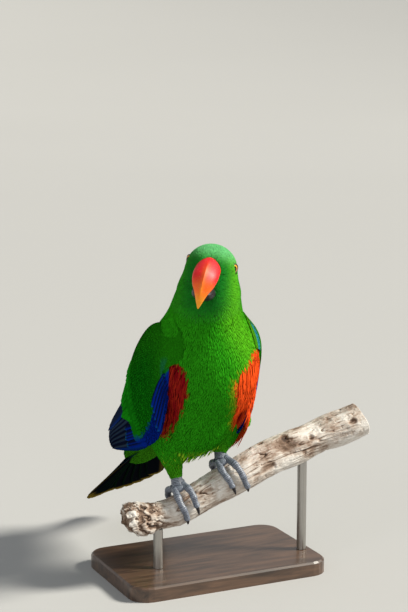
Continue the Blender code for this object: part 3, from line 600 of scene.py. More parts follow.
def vanes(name, middle, normal, thick, tint, across, along, place, chance, under_tint=None):
    """One mesh of many vanes. middle and normal hold a grid of points for each, thick is how thick a vane is
    at each grid point, tint its colour there, place its root on the map and chance a number from 0 to 1."""
    count, rows, columns, _ = middle.shape
    half = (thick / 2)[..., None]
    inner = (slice(None), slice(1, -1), slice(1, -1))
    rim = np.ones((rows, columns), bool)
    rim[1:-1, 1:-1] = False
    lift = np.where(rim[None, :, :, None], 0.0, np.broadcast_to(half, middle.shape[:3] + (1,)))

    def both(grid):
        size = grid.shape[-1]
        return np.concatenate([grid.reshape(count, -1, size), grid[inner].reshape(count, -1, size)], axis=1)

    top = (middle + normal * lift).reshape(count, -1, 3)
    under = (middle - normal * lift)[inner].reshape(count, -1, 3)
    points = np.concatenate([top, under], axis=1)
    size = points.shape[1]
    faces = lens_faces(rows, columns)
    quads = (faces[None] + (np.arange(count) * size)[:, None, None]).reshape(-1, 4)
    mesh = quad_mesh(name, (points + FEET).reshape(-1, 3), quads)
    grid_across = np.broadcast_to(across[None, None, :], (count, rows, columns))
    grid_along = np.broadcast_to(along[None, :, None], (count, rows, columns))
    grid_chance = np.broadcast_to(chance[:, None, None], (count, rows, columns))
    shades = both(tint)
    if under_tint is not None:
        shades[:, rows * columns:] = under_tint[inner].reshape(count, -1, 3)
    set_values(mesh, "tint", shades.reshape(-1, 3))
    vane = np.stack([grid_across, grid_along, grid_chance], axis=-1)
    set_values(mesh, "vane", both(vane).reshape(-1, 3))
    patch = place[:, None, None, :] + VANE_PATCH * np.stack([grid_across / 2, grid_along - 0.5], axis=-1)
    set_bake_map(mesh, both(patch).reshape(-1, 2))
    return add_object(name, mesh)


def chosen(which, *arrays):
    """The rows of each array that a mask or a list of indices names."""
    return [array[which] for array in arrays]


def spread(points, spacing):
    """The indices of points that lie at least their own spacing from those taken before them."""
    tree = point_tree(points)
    gone = np.zeros(len(points), bool)
    taken = []
    for i in range(len(points)):
        if not gone[i]:
            taken.append(i)
            for _, j, _ in tree.find_range(points[i], spacing[i]):
                gone[j] = True
    return np.array(taken)


def area_draw(grid, count, rng):
    """Points drawn evenly over a grid of surface points that closes on itself in its second direction."""
    across = np.roll(grid, -1, axis=1)[:-1] - grid[:-1]
    down = grid[1:] - grid[:-1]
    area = np.linalg.norm(np.cross(across, down), axis=-1)
    cell = rng.choice(area.size, count, p=(area / area.sum()).ravel())
    i, j = np.divmod(cell, area.shape[1])
    u = rng.random((count, 2))
    k = (j + 1) % grid.shape[1]
    low = mix(grid[i, j], grid[i, k], u[:, 1])
    high = mix(grid[i + 1, j], grid[i + 1, k], u[:, 1])
    return mix(low, high, u[:, 0])


VANE_ALONG = np.array([0.0, 0.34, 0.70, 1.0])
VANE_ACROSS = np.array([-1.0, 0.0, 1.0])
VANE_SHAPE = np.array([0.5, 1.0, 0.85, 0.26])
BROAD_ACROSS = np.array([-1.0, -0.5, 0.0, 0.5, 1.0])
BROAD_SHAPE = np.array([0.45, 0.95, 1.0, 0.45])


def coat_vanes(name, distance, root, normal, lie, length, width, lifts, colour, place, rng,
               broad=False):
    """Small vanes that follow a form from their roots along the lie. lifts are how far the roots and the tips
    stand off it."""
    across = BROAD_ACROSS if broad else VANE_ACROSS
    shape = BROAD_SHAPE if broad else VANE_SHAPE
    count = len(root)
    side = np.cross(lie, normal)
    reach = np.broadcast_to(VANE_ALONG[None, :, None], (count, 4, len(across))).copy()
    reach[:, -1, :] -= 0.16 * np.abs(across) ** 2
    reach[:, -1, :] += rng.normal(0.0, 0.06, (count, len(across)))
    bend = rng.normal(0.0, 0.07, count)[:, None, None] * reach**2
    sideways = width[:, None, None] / 2 * shape[None, :, None] * across[None, None, :]
    p = (root[:, None, None, :] + lie[:, None, None, :] * (length[:, None, None] * reach)[..., None]
         + side[:, None, None, :] * (sideways + bend * length[:, None, None])[..., None])
    out = np.broadcast_to(normal[:, None, None, :], p.shape)
    for _ in range(2):
        p = p - out * distance(p)[..., None]
    facing = slope_of(distance, p[:, 2, len(across) // 2])
    facing = unit(mix(normal[:, None, None, :], facing[:, None, None, :], reach))
    low, high = lifts
    high = high * (1 + rng.normal(0.0, 0.35, count))
    rise = low[:, None, None] + (high - low)[:, None, None] * reach**0.7
    rise = rise - 0.07 * width[:, None, None] * np.abs(across) ** 2
    p = p + facing * rise[..., None]
    thick = np.broadcast_to((0.06 + 0.02 * width)[:, None, None], p.shape[:3])
    shade = (0.96 + 0.08 * VANE_ALONG[None, :, None]) * (1 + rng.normal(0.0, 0.05, (count, 1, 1)))
    shade = shade * (1 + 0.07 * soft_waves(root, 0.55))[:, None, None]
    tint = np.broadcast_to(colour[:, None, None, :] * shade[..., None], p.shape)
    return vanes(name, p, facing, thick, tint, across, VANE_ALONG, place, rng.random(count))


def body_lie(p, normal, along, t):
    """The way that the feathers lie: back from the bill over the head, then down the neck and the body."""
    q = in_head(p)
    from_bill = q - np.array([0.0, -27.0, -4.0])
    fall = step(q[:, 1], -12.0, 22.0)[:, None] * np.array([0.0, 0.0, -34.0])
    head = (from_bill + fall) @ HEAD_TURN.T
    lie = mix(-along, unit(head), step(t, 0.66, 0.80))
    return laid(lie, normal)


def body_colour(p, t, angle, rng):
    """The markings of the body, neck and head at points of the plumage, with painted sunlight on the bird's
    left side and its flank, a painted highlight on the crown and painted shade on the face.
    """
    q = in_head(p)
    side = np.abs(angle)
    # Painted sunlight: the bird's sunlit left side is a yellower green.
    painted_sun = 0.6 * step(angle, 60.0, 110.0) * (1 - step(angle, 125.0, 170.0))
    colour = mix(np.broadcast_to(GREEN, p.shape), PAINTED_SUN_GREEN, painted_sun)
    # The top of the head: its own mint tint and a painted highlight of the sun.
    crown = step(q[:, 2], 0.0, 13.0) * step(t, 0.74, 0.84)
    colour = mix(colour, CROWN_GREEN_AND_HIGHLIGHT, crown)
    # Painted shade: the face toward the bill is a darker green.
    face = step(-q[:, 1], 4.0, 20.0) * step(t, 0.70, 0.80) * (1 - crown)
    colour = mix(colour, FACE_GREEN_IN_SHADE, face)
    vent = (1 - step(t, 0.18, 0.34)) * step(side, 118.0, 150.0)
    colour = mix(colour, VENT_LIME, 0.60 * vent)
    lower = step(-p[:, 2], -30.0, -14.0) * step(side, 135.0, 160.0)
    colour = mix(colour, VENT_LIME, 0.65 * lower)
    wander = rng.normal(0.0, 1.5, len(p)) + 2.0 * soft_waves(p, 0.35)
    station = t + rng.normal(0.0, 0.005, len(p))
    reach = np.where(angle < 0, np.interp(station, FLANK_AT, FLANK_RIGHT, left=-60.0, right=-60.0),
                     np.interp(station, FLANK_AT, FLANK_LEFT, left=-60.0, right=-60.0))
    inside = reach - side - wander
    open_flank = step(side, 58.0, 66.0)
    for leg in (1, -1):
        open_flank = open_flank * step(thigh_distance(p, leg) - body_distance(p), 0.5, 2.5)
    red = step(inside, -2.0, 2.0) * open_flank
    edge = step(inside, -9.0, -3.0) * (1 - red) * open_flank
    # On the bird's left, the sunlit side, the flank's edge is yellowed and its red mostly turned orange:
    # painted sunlight. The thin orange fringe at the red's edge is its own.
    colour = mix(colour, FLANK_YELLOW, 0.35 * edge * (angle > 0))
    orange_and_sun = np.clip(0.10 * (1 - step(inside, 0.0, 14.0)) + 0.75 * (angle > 0), 0, 1)
    flank = mix(SHADED_FLANK_RED, FLANK_ORANGE_AND_SUN, orange_and_sun)
    return mix(colour, flank * rng.uniform(0.80, 1.15, (len(p), 1)), red)


def soft_waves(p, pitch):
    """Smooth uneven waves over the body, from about -1 to 1."""
    x, y, z = (p[:, k] * pitch for k in range(3))
    return (np.sin(x + 1.3 * np.sin(0.7 * z)) * np.sin(0.8 * z + 1.1 * np.sin(0.6 * x + y))
            + 0.5 * np.sin(2.1 * x + 0.9 * z) * np.sin(1.7 * z - 1.2 * y))


def hidden_by(p, normal, names, reach):
    """Whether a solid of the frame lies over each point within reach, in millimetres."""
    graph = bpy.context.evaluated_depsgraph_get()
    trees = [BVHTree.FromObject(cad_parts[name], graph) for name in names]
    over = np.zeros(len(p), bool)
    start = (p + FEET) * MM
    for tree in trees:
        for i in np.nonzero(~over)[0]:
            hit = tree.ray_cast(Vector(start[i] + normal[i] * 0.2 * MM), Vector(normal[i]), reach * MM)
            over[i] = hit[0] is not None
    return over


def bill_cover(p):
    """Whether points lie on the head where the bill or an eye is."""
    q = in_head(p)
    covered = np.zeros(len(p), bool)
    for centre, half in BILL_OPENINGS:
        covered |= ellipsoid(q - np.array(centre), np.array(half)) < 0
    for side in (1, -1):
        centre, look = eye_place(side)
        reach = np.linalg.norm(q - centre - look * LID_OUT, axis=-1)
        covered |= reach < LID_RADIUS + LID_THICK * 0.7
    return covered


def eye_place(side):
    """The middle of an eye and the way that it looks, in the head's frame. side is 1 for the bird's left."""
    look = turn("z", -side * EYE_FORWARD) @ np.array([side, 0.0, 0.0])
    return np.array([side * EYE_SIDE, EYE_AHEAD, 0.0]), look


def unwrap(t, angle):
    """The place on the skin's map: its spine station down the map and the angle round it across."""
    across = (angle % 360.0) / 360.0
    return MAP_MARGIN + (1 - 2 * MAP_MARGIN) * np.stack([across, t], axis=-1)


def make_coat(material, crown_material):
    """The small feathers of the head, neck, breast, belly and back, drawn denser toward the face."""
    rng = np.random.default_rng(11)
    start, end = spine_ends()
    t = np.linspace(start + 0.002, end - 0.002, 130)
    grid = body_rings(t, np.radians(np.arange(0.0, 360.0, 3.0)))
    p = area_draw(grid, COAT_DRAWN, rng)
    top = rng.uniform(-9.0, 9.0, (CROWN_DRAWN, 2))
    cap = smooth_curve(SPINE, np.array([end]))[0] + np.insert(top, 2, 4.0, axis=1)
    p = np.concatenate([p, settle(coat_distance, cap, 0.0, 3)])
    p = settle(coat_distance, p, 0.0, 2)
    station, angle, along = spine_place(p)
    q = in_head(p)
    spacing = np.interp(station, SPACING_AT, SPACING)
    face = step(-q[:, 1], 2.0, 16.0) * step(station, 0.74, 0.80)
    spacing = spacing * (1 - 0.28 * face)
    open_place = ~(bill_cover(p) & (station > 0.7))
    for side in (1, -1):
        open_place &= thigh_distance(p, side) > -2.0
    p, station, angle, along, spacing = chosen(open_place, p, station, angle, along, spacing)
    kept = spread(p, spacing * OVERLAP)
    p, station, angle, along, spacing = chosen(kept, p, station, angle, along, spacing)
    normal = slope_of(coat_distance, p)
    seen = ~hidden_by(p, normal, ("wing_left", "wing_right", "tail"), COVER_REACH)
    p, station, angle, along, spacing, normal = chosen(seen, p, station, angle, along, spacing, normal)
    lie = body_lie(p, normal, along, station)
    colour = body_colour(p, station, angle, rng)
    back = 1 - step(np.abs(angle), 70.0, 110.0)
    length = spacing * rng.uniform(4.2, 5.8, len(p)) * (1 - 0.25 * back)
    width = spacing * rng.uniform(1.15, 1.5, len(p)) * (1 + 0.45 * back * (station < 0.6))
    depth = np.interp(spacing, [0.8, 1.2, 3.0], [0.34, 0.42, 0.70])
    lifts = (-depth, 0.16 * depth + 0.22 * back * (station < 0.6))
    place = unwrap(station, angle)
    right = angle < 0
    front = np.abs(angle) >= 105.0
    areas = {
        "coat_head": station >= 0.79,
        "coat_cheeks": (station >= 0.735) & (station < 0.79),
        "coat_neck": (station >= 0.63) & (station < 0.735),
        "coat_chest": (station >= 0.552) & (station < 0.63),
        "coat_breast": (station < 0.552) & (station >= 0.42) & front,
        "coat_belly": (station < 0.42) & front,
        "coat_back_left": (station < 0.552) & ~front & ~right,
        "coat_back_right": (station < 0.552) & ~front & right,
    }
    for name, where in areas.items():
        piece = coat_vanes(name, coat_distance, *chosen(where, p, normal, lie, length, width),
                           chosen(where, *lifts), *chosen(where, colour, place), rng)
        dress(piece, crown_material if name in ("coat_head", "coat_cheeks") else material)


def make_thigh_coats(material):
    """The thighs' feathers, which lie down the legs to the ankles."""
    rng = np.random.default_rng(12)
    for label, side in (("left", 1), ("right", -1)):
        top, end = thigh_ends(side)
        u = np.linspace(0.0, 1.0, 40)
        path = top + u[:, None] * (end - top)
        p = area_draw(tube(path, thigh_radius(u), 60), THIGH_DRAWN, rng)
        p = p[body_distance(p) > -1.0]
        p = settle(coat_distance, p, 0.0, 2)
        h = (p - top) @ (end - top) / ((end - top) @ (end - top))
        spacing = np.interp(h, [0.0, 1.0], [1.9, 1.4])
        kept = spread(p, spacing * OVERLAP)
        p, h, spacing = chosen(kept, p, h, spacing)
        normal = slope_of(coat_distance, p)
        lie = laid(unit(end - top) * np.ones((len(p), 1)), normal)
        colour = mix(np.broadcast_to(GREEN, p.shape), VENT_LIME, 0.10 * step(h, 0.3, 1.0))
        station, angle, _ = spine_place(p)
        depth = np.full(len(p), 0.6)
        piece = coat_vanes("coat_thigh_" + label, coat_distance, p, normal, lie, spacing * 4.6,
                           spacing * 1.35, (-depth, 0.45 * depth), colour, unwrap(station, angle), rng)
        dress(piece, material)


TUFT_ALONG = np.linspace(0.0, 1.0, 7)
TUFT_SHAPE = np.array([0.4, 0.8, 1.0, 0.95, 0.78, 0.5, 0.14])
TUFT_THICK = 0.2


def coat_roots(t, angle):
    """Points just under the coat's surface, at spine stations t and angles round them."""
    centre, _, left, back = spine_frame(t)
    rays = np.cos(np.radians(angle))[:, None] * back + np.sin(np.radians(angle))[:, None] * left
    return settle(coat_distance, centre + rays * 40.0, -0.5, 6)


def tuft_grid(root, normal, fall, length, width):
    """The points of long narrow feathers, how far along its feather each is, and the normals there."""
    across = BROAD_ACROSS[None, None, :]
    along = TUFT_ALONG[None, :, None]
    reach = along - 0.06 * np.abs(across) ** 2 * along**6
    sideways = np.cross(fall, normal)
    off = width[:, None, None] / 2 * TUFT_SHAPE[None, :, None] * across
    q = (root[:, None, None, :] + fall[:, None, None, :] * (length[:, None, None] * reach)[..., None]
         + sideways[:, None, None, :] * off[..., None])
    return q, reach, np.broadcast_to(normal[:, None, None, :], q.shape)


def make_tufts(name, q, normal, tint, root, material, rng):
    station, around, _ = spine_place(root)
    piece = vanes(name, q, normal, np.full(q.shape[:3], TUFT_THICK), tint, BROAD_ACROSS, TUFT_ALONG,
                  unwrap(station, around), rng.random(len(root)))
    dress(piece, material)


def make_flank_tufts(material):
    """The long red flank feathers that hang between the belly and each wing."""
    for label, side in (("left", 1), ("right", -1)):
        rng = np.random.default_rng(14 + side)
        t = np.sort(rng.uniform(0.372, 0.55, FLANK_TUFTS))
        count = len(t)
        edge = np.interp(t, FLANK_AT, FLANK_LEFT if side > 0 else FLANK_RIGHT)
        root = coat_roots(t, side * (edge - rng.uniform(2.0, 34.0, count)))
        normal = slope_of(coat_distance, root)
        fall = unit(np.array([side * 0.02, 0.30, -0.95]) + rng.normal(0.0, 0.07, (count, 3)))
        fall = laid(fall, normal, 0.85)
        length = rng.uniform(10.0, 17.0, count) + 8.0 * (side > 0) * (1 - step(t, 0.36, 0.44))
        q, reach, out = tuft_grid(root, normal, fall, length, rng.uniform(1.1, 2.0, count))
        lift = 0.1 + 0.5 * reach**0.8 + 0.35 * rng.random((count, 1, 1)) * reach
        q = q + out * np.maximum(lift - coat_distance(q), 0.0)[..., None]
        # On the bird's sunlit left side the red is mostly turned orange: painted sunlight. The small random
        # share is the feathers' own tone.
        orange_and_sun = rng.uniform(0.0, 0.20, count) + (0.70 if side > 0 else 0.0)
        colour = mix(SHADED_FLANK_RED, FLANK_ORANGE_AND_SUN, orange_and_sun)
        tip = mix(colour, FLANK_YELLOW, 0.30 * (1 - step(t, 0.37, 0.44)))
        share = step(np.broadcast_to(TUFT_ALONG[None, :, None], q.shape[:3]), 0.65, 1.0)
        tint = mix(colour[:, None, None, :], tip[:, None, None, :], share)
        tint = tint * rng.uniform(0.86, 1.08, (count, 1, 1, 1))
        make_tufts("flank_tuft_" + label, q, out, tint, root, material, rng)


def make_edge_tufts(material):
    """Red flank feathers that lie over the lower edge of the left wing."""
    rng = np.random.default_rng(18)
    surface = wing_surface(1)
    a = rng.uniform(0.015, 0.37, EDGE_TUFTS)
    count = len(a)
    b = rng.uniform(-0.03, 0.16, count) * (1 - 0.5 * step(a, 0.20, 0.36))
    root, normal = surface(a, b)
    ahead, _ = surface(a + 0.03, b - 0.075)
    fall = unit(unit(ahead - root) + rng.normal(0.0, 0.06, (count, 3)))
    fall = laid(fall, normal)
    length = rng.uniform(9.0, 15.0, count)
    q, reach, out = tuft_grid(root, normal, fall, length, rng.uniform(1.3, 2.2, count))
    lift = 2.2 + 1.3 * np.minimum(reach * 3.0, 1.0) - 1.6 * reach**2 + 0.5 * rng.random((count, 1, 1))
    # These feathers lie on the bird's sunlit left side, so their red is mostly turned orange: painted
    # sunlight.
    colour = mix(SHADED_FLANK_RED, FLANK_ORANGE_AND_SUN, rng.uniform(0.55, 0.95, count))
    colour = colour * rng.uniform(0.8, 1.1, (count, 1))
    tint = np.broadcast_to(colour[:, None, None, :], q.shape)
    make_tufts("flank_edge_left", q + out * lift[..., None], out, tint, root, material, rng)


def make_vent_tufts(material):
    """Longer lime feathers that hang at the vent, between the legs and behind them."""
    rng = np.random.default_rng(17)
    t = rng.uniform(0.24, 0.335, VENT_TUFTS)
    root = coat_roots(t, rng.uniform(-202.0, -158.0, VENT_TUFTS))
    root = root[(thigh_distance(root, 1) > 3.5) & (thigh_distance(root, -1) > 3.5)]
    count = len(root)
    normal = slope_of(coat_distance, root)
    fall = unit(np.array([0.0, 0.55, -0.80]) + rng.normal(0.0, 0.10, (count, 3)))
    fall = laid(fall, normal, 0.55)
    length = rng.uniform(8.0, 14.0, count)
    q, reach, out = tuft_grid(root, normal, fall, length, rng.uniform(1.4, 2.4, count))
    q = q + out * np.maximum(0.2 + 0.6 * reach - coat_distance(q), 0.0)[..., None]
    share = step(np.broadcast_to(TUFT_ALONG[None, :, None], q.shape[:3]), 0.3, 0.9)
    tint = mix(np.broadcast_to(GREEN, q.shape), VENT_LIME, share)
    tint = tint * rng.uniform(0.8, 1.1, (count, 1, 1, 1))
    make_tufts("vent_tufts", q, out, tint, root, material, rng)


def make_skin(material):
    """The skin under the plumage of the body, neck, head and thighs, as one closed surface."""
    start, end = spine_ends(-SKIN_DEPTH)
    u = np.linspace(0.0, 1.0, 90)
    t = start + (1 - np.cos(np.pi * u)) / 2 * (end - start)
    rings = body_rings(t[1:-1], np.radians(np.arange(0.0, 360.0, 4.0)), -SKIN_DEPTH)
    verts, faces = loft(rings)
    verts[-2] = smooth_curve(SPINE, t[0])[0]
    verts[-1] = smooth_curve(SPINE, t[-1])[0]
    shapes = [(verts, faces)]
    for side in (1, -1):
        top, low = thigh_ends(side)
        share = np.linspace(0.0, 1.0, 16)
        path = top + share[:, None] * (low - top)
        shapes.append(loft(tube(path, thigh_radius(share) - SKIN_DEPTH, 28)))
    points, faces = joined(shapes)
    skin = add_form("skin", points + FEET, faces)
    fuse(skin)
    p = vertex_places(skin) - FEET
    station, angle, _ = spine_place(p)
    colour = body_colour(p, station, angle, np.random.default_rng(13))
    # The skin carries the plumage's markings at half brightness: painted shade under the feathers.
    set_values(skin.data, "tint", 0.5 * colour)
    return dress(skin, material, ("torso", "neck", "head", "thigh_left", "thigh_right"))


def fuse(obj):
    """Makes one closed surface of overlapping forms, by a voxel remesh and some smoothing."""
    remesh = obj.modifiers.new("fuse", "REMESH")
    remesh.mode = "VOXEL"
    remesh.voxel_size = SKIN_VOXEL * MM
    remesh.use_smooth_shade = True
    soften = obj.modifiers.new("soften", "SMOOTH")
    soften.iterations = 2
    graph = bpy.context.evaluated_depsgraph_get()
    made = bpy.data.meshes.new_from_object(obj.evaluated_get(graph))
    obj.modifiers.clear()
    obj.data = made
    made.shade_smooth()


def vertex_places(obj):
    """The object's points in millimetres."""
    co = np.zeros(len(obj.data.vertices) * 3, np.float32)
    obj.data.vertices.foreach_get("co", co)
    return co.reshape(-1, 3).astype(float) / MM


# The wings

def wing_surface(side):
    """The outer face of a folded wing: a runs from its front to its tip and b from its lower edge upward."""
    tuck = LEFT_TUCK if side > 0 else 0.0

    def point(a, b):
        low = smooth_curve(WING_LOW, a)
        middle = smooth_curve(WING_MIDDLE, a)
        high = smooth_curve(WING_HIGH, a)
        b = b[..., None]
        bend = low * (1 - b) * (1 - 2 * b) + 4 * middle * b * (1 - b) + high * b * (2 * b - 1)
        held = tuck + FLANK_COVER * (side > 0) * (1 - step(a, 0.30, 0.60))
        bend[:, 0] *= -side * (1 - held * (1 - b[:, 0]) ** 2)
        if side > 0:
            swell = np.exp(-(((b[:, 0] - SWELL_HEIGHT) / SWELL_BREADTH) ** 2)) * (1 - step(a, 0.12, 0.50))
            bend[:, :2] += LEFT_SWELL * swell[:, None]
        return bend + np.array([BODY_X, 0.0, 0.0])

    def surface(a, b):
        a, b = np.broadcast_arrays(np.asarray(a, float), np.asarray(b, float))
        flat_a, flat_b = a.ravel(), b.ravel()
        p = point(flat_a, flat_b)
        da = point(np.minimum(flat_a + 0.01, 1.0), flat_b) - point(np.maximum(flat_a - 0.01, 0.0), flat_b)
        db = point(flat_a, flat_b + 0.02) - point(flat_a, flat_b - 0.02)
        normal = unit(np.cross(db, da)) * side
        normal = normal * np.sign((normal[:, 0] * side).mean() or 1.0)
        return p.reshape(a.shape + (3,)), normal.reshape(a.shape + (3,))

    return surface


LONG_ALONG = np.array([0.0, 0.10, 0.22, 0.35, 0.48, 0.60, 0.71, 0.80, 0.87, 0.93, 0.975, 1.0])
LONG_ACROSS = np.array([-1.0, -0.66, -0.30, 0.0, 0.30, 0.66, 1.0])


def long_shape(tip):
    """How wide a long feather is along its length. Its tip is rounder where tip is higher."""
    rise = 0.45 + 0.55 * step(LONG_ALONG, 0.0, 0.35)
    fall = np.sqrt(np.maximum(1.0 - (np.maximum(LONG_ALONG - tip, 0.0) / (1.02 - tip)) ** 2, 0.0))
    return rise * np.maximum(fall, 0.16)


def wing_tier(surface, count, tip, pairs, rng):
    """A row of long feathers on the wing. Each pair of numbers is for the lowest and the highest of them."""
    share = np.linspace(0.0, 1.0, count)[:, None, None]
    start, tips, roots, ends, half, lifts = (low + (high - low) * share for low, high in pairs)
    t = LONG_ALONG[None, :, None]
    wobble = rng.normal(0.0, 0.006, (2, count, 1, 1))
    across = np.broadcast_to(LONG_ACROSS[None, None, :], (count, len(LONG_ALONG), len(LONG_ACROSS)))
    a = start + (tips + wobble[0] - start) * t - 0.45 * half * across**2 * t**6
    shaft = roots + (ends - roots + wobble[1]) * t**1.15
    b = shaft + half * long_shape(tip)[None, :, None] * across
    p, normal = surface(np.clip(a, 0.0, 1.0), b)
    lift = lifts + 1.5 * (t - 1.0) + 0.42 * across - 0.30 * across**2
    lift = lift + 0.18 * np.exp(-((across / 0.12) ** 2))
    p = p + normal * lift[..., None]
    return p, normal, a, b


# Each row of the wing's long feathers: its kind, its count and how round its tips are, then for its lowest
# and highest feather where it starts, where its tip lies, how high its root and its tip are, its half width
# and its lift
WING_ROWS = (
    ("primaries", 8, 0.86,
     ((0.30, 0.42), (0.90, 0.86), (0.02, 0.38), (0.03, 0.52), (0.062, 0.085), (-3.2, -1.9))),
    ("secondaries", 8, 0.90,
     ((0.36, 0.34), (0.80, 0.82), (0.42, 0.93), (0.46, 0.94), (0.100, 0.080), (-1.2, 0.2))),
    ("primary_coverts", 6, 0.86,
     ((0.20, 0.26), (0.55, 0.50), (0.01, 0.12), (0.01, 0.16), (0.026, 0.030), (0.2, 0.9))),
    ("lower_coverts", 6, 0.88,
     ((0.14, 0.24), (0.36, 0.52), (0.12, 0.27), (0.13, 0.29), (0.030, 0.042), (1.0, 1.2))),
    ("great_coverts", 13, 0.88,
     ((0.28, 0.28), (0.52, 0.62), (0.29, 0.95), (0.30, 0.95), (0.045, 0.052), (0.5, 1.0))),
    ("middle_coverts", 15, 0.84,
     ((0.20, 0.24), (0.38, 0.48), (0.26, 0.95), (0.27, 0.95), (0.040, 0.048), (1.4, 1.9))),
    ("edge_coverts", 5, 0.90,
     ((0.01, 0.02), (0.20, 0.18), (0.06, 0.30), (0.004, 0.16), (0.023, 0.025), (2.5, 3.3))),
)

# The rows whose undersides are red, as the males' underwing coverts are
RED_BELOW = ("primary_coverts", "lower_coverts", "edge_coverts")


def blue_below(a):
    """How high up the wing its blue reaches."""
    return np.interp(a, (-0.05, 0.0, 0.06, 0.12, 0.20, 0.30), (0.36, 0.31, 0.25, 0.18, 0.11, 0.06))


def wing_tint(kind, t, across, root):
    """Colours of the wing's long feathers, by their kind, along and across each, and by their roots."""
    if kind == "primaries":
        tint = mix(FLIGHT_BLUE, FLIGHT_DARK, step(across, -0.70, -0.15))
        tint = mix(tint, WING_TEAL, 0.5 * step(-across, 0.80, 0.98) * step(t, 0.5, 0.9))
        return mix(tint, FLIGHT_EDGE, 0.35 * np.exp(-((across / 0.07) ** 2)) * (1 - step(t, 0.80, 1.0)))
    if kind == "secondaries":
        high = step(root, 0.66, 0.80)
        slate = mix(FLIGHT_SLATE, FLIGHT_BLUE, step(-across, 0.2, 0.8) * 0.8)
        green = mix(COVERT_GREEN, FLIGHT_SLATE, step(across, 0.3, 0.8))
        green = mix(green, slate, 0.8 * step(t, 0.80, 0.98))
        rim = step(np.abs(across), 0.84, 0.98) * step(t, 0.5, 0.8)
        return mix(mix(slate, green, high), FLIGHT_EDGE, 0.35 * rim)
    if kind in ("primary_coverts", "edge_coverts"):
        tint = mix(WING_BLUE, FLIGHT_DARK, 0.95 * step(across, -0.15, 0.35))
        edge = step(t, 0.93, 1.0) * 0.35 + 0.20 * step(-across, 0.80, 0.98) * step(t, 0.3, 0.6)
        return mix(tint, WING_TEAL, np.clip(edge, 0.0, 1.0))
    tint = mix(COVERT_GREEN * 1.15, COVERT_GREEN * 0.55, step(across, 0.35, 0.95))
    return tint * (0.80 + 0.35 * t[..., None])


def wing_feathers(name, surface, material, rng):
    shapes = []
    for kind, count, tip, pairs in WING_ROWS:
        p, normal, a, b = wing_tier(surface, count, tip, pairs, rng)
        t = np.broadcast_to(LONG_ALONG[None, :, None], a.shape)
        across = np.broadcast_to(LONG_ACROSS[None, None, :], a.shape)
        root = b[:, 0, 3]
        first = a[:, 0, 3]
        tint = wing_tint(kind, t, across, np.broadcast_to(root[:, None, None], a.shape))
        tint = tint * rng.uniform(0.88, 1.12, (count, 1, 1, 1))
        below = SHADED_FLANK_RED if kind in RED_BELOW else FLIGHT_DARK
        shapes.append((p, normal, tint, root, first, np.broadcast_to(below, p.shape)))
    p, normal, tint, root, first, under = (np.concatenate([shape[k] for shape in shapes]) for k in range(6))
    place = np.stack([0.05 + 0.9 * root, 0.05 + 0.9 * first], axis=-1)
    thick = np.broadcast_to(0.42 * np.maximum(1 - np.abs(LONG_ACROSS), 0.35)[None, None, :], p.shape[:3])
    chance = rng.random(len(p))
    piece = vanes(name + "_flight", p, normal, thick, tint, LONG_ACROSS, LONG_ALONG, place, chance, under)
    dress(piece, material, (name,))


def covert_lift(a, b):
    """How far the small coverts lie off the wing's surface."""
    front = np.sqrt(np.clip(np.clip(a, 0.0, 1.0) / 0.12 + 0.02, 0.0, 1.0))
    edge = np.sqrt(np.maximum(1.0 - np.clip(np.abs(2.0 * np.clip(b, 0.0, 1.0) - 1.0), 0, 1) ** 6, 0.0))
    rear = 1 - step(a, 0.36, 0.46)
    return 2.5 * front * edge * (0.35 + 0.65 * rear) - 0.5


SHOULDER_START = -0.20
SHOULDER_END = 0.12


def shoulder_surface(surface, side):
    """The wing's coverts, carried on over its front edge to the side of the breast where a is below 0."""
    heights = np.linspace(-0.05, 1.05, 45)
    front, normal = surface(0.0 * heights, heights)
    aim = settle(coat_distance, front + np.array([-side * 10.0, -7.0, 2.0]), 0.25, 5)
    tucked = front - normal * 1.5
    start = mix(tucked, aim, step(heights, 0.34, 0.50))
    over = front + normal * 1.6
    last = np.full(len(heights), SHOULDER_END)
    end, end_normal = surface(last, heights)
    end = end + end_normal * covert_lift(last, heights)[:, None]

    def point(a, b):
        on_wing, wing_normal = surface(np.clip(a, 0.0, 1.0), np.clip(b, -0.05, 1.05))
        on_wing = on_wing + wing_normal * covert_lift(a, b)[..., None]
        u = np.clip((a - SHOULDER_START) / (SHOULDER_END - SHOULDER_START), 0.0, 1.0)[..., None]
        first, middle, final = (np.stack([np.interp(b, heights, edge[:, j]) for j in range(3)], axis=-1)
                                for edge in (start, over, end))
        bridge = (1 - u) ** 2 * first + 2 * u * (1 - u) * middle + u * u * final
        return np.where((a < SHOULDER_END)[..., None], bridge, on_wing)

    def carried(a, b):
        a, b = np.broadcast_arrays(np.asarray(a, float), np.asarray(b, float))
        da = point(a + 0.012, b) - point(a - 0.012, b)
        db = point(a, b + 0.02) - point(a, b - 0.02)
        return point(a, b), unit(np.cross(db, da)) * side

    return carried


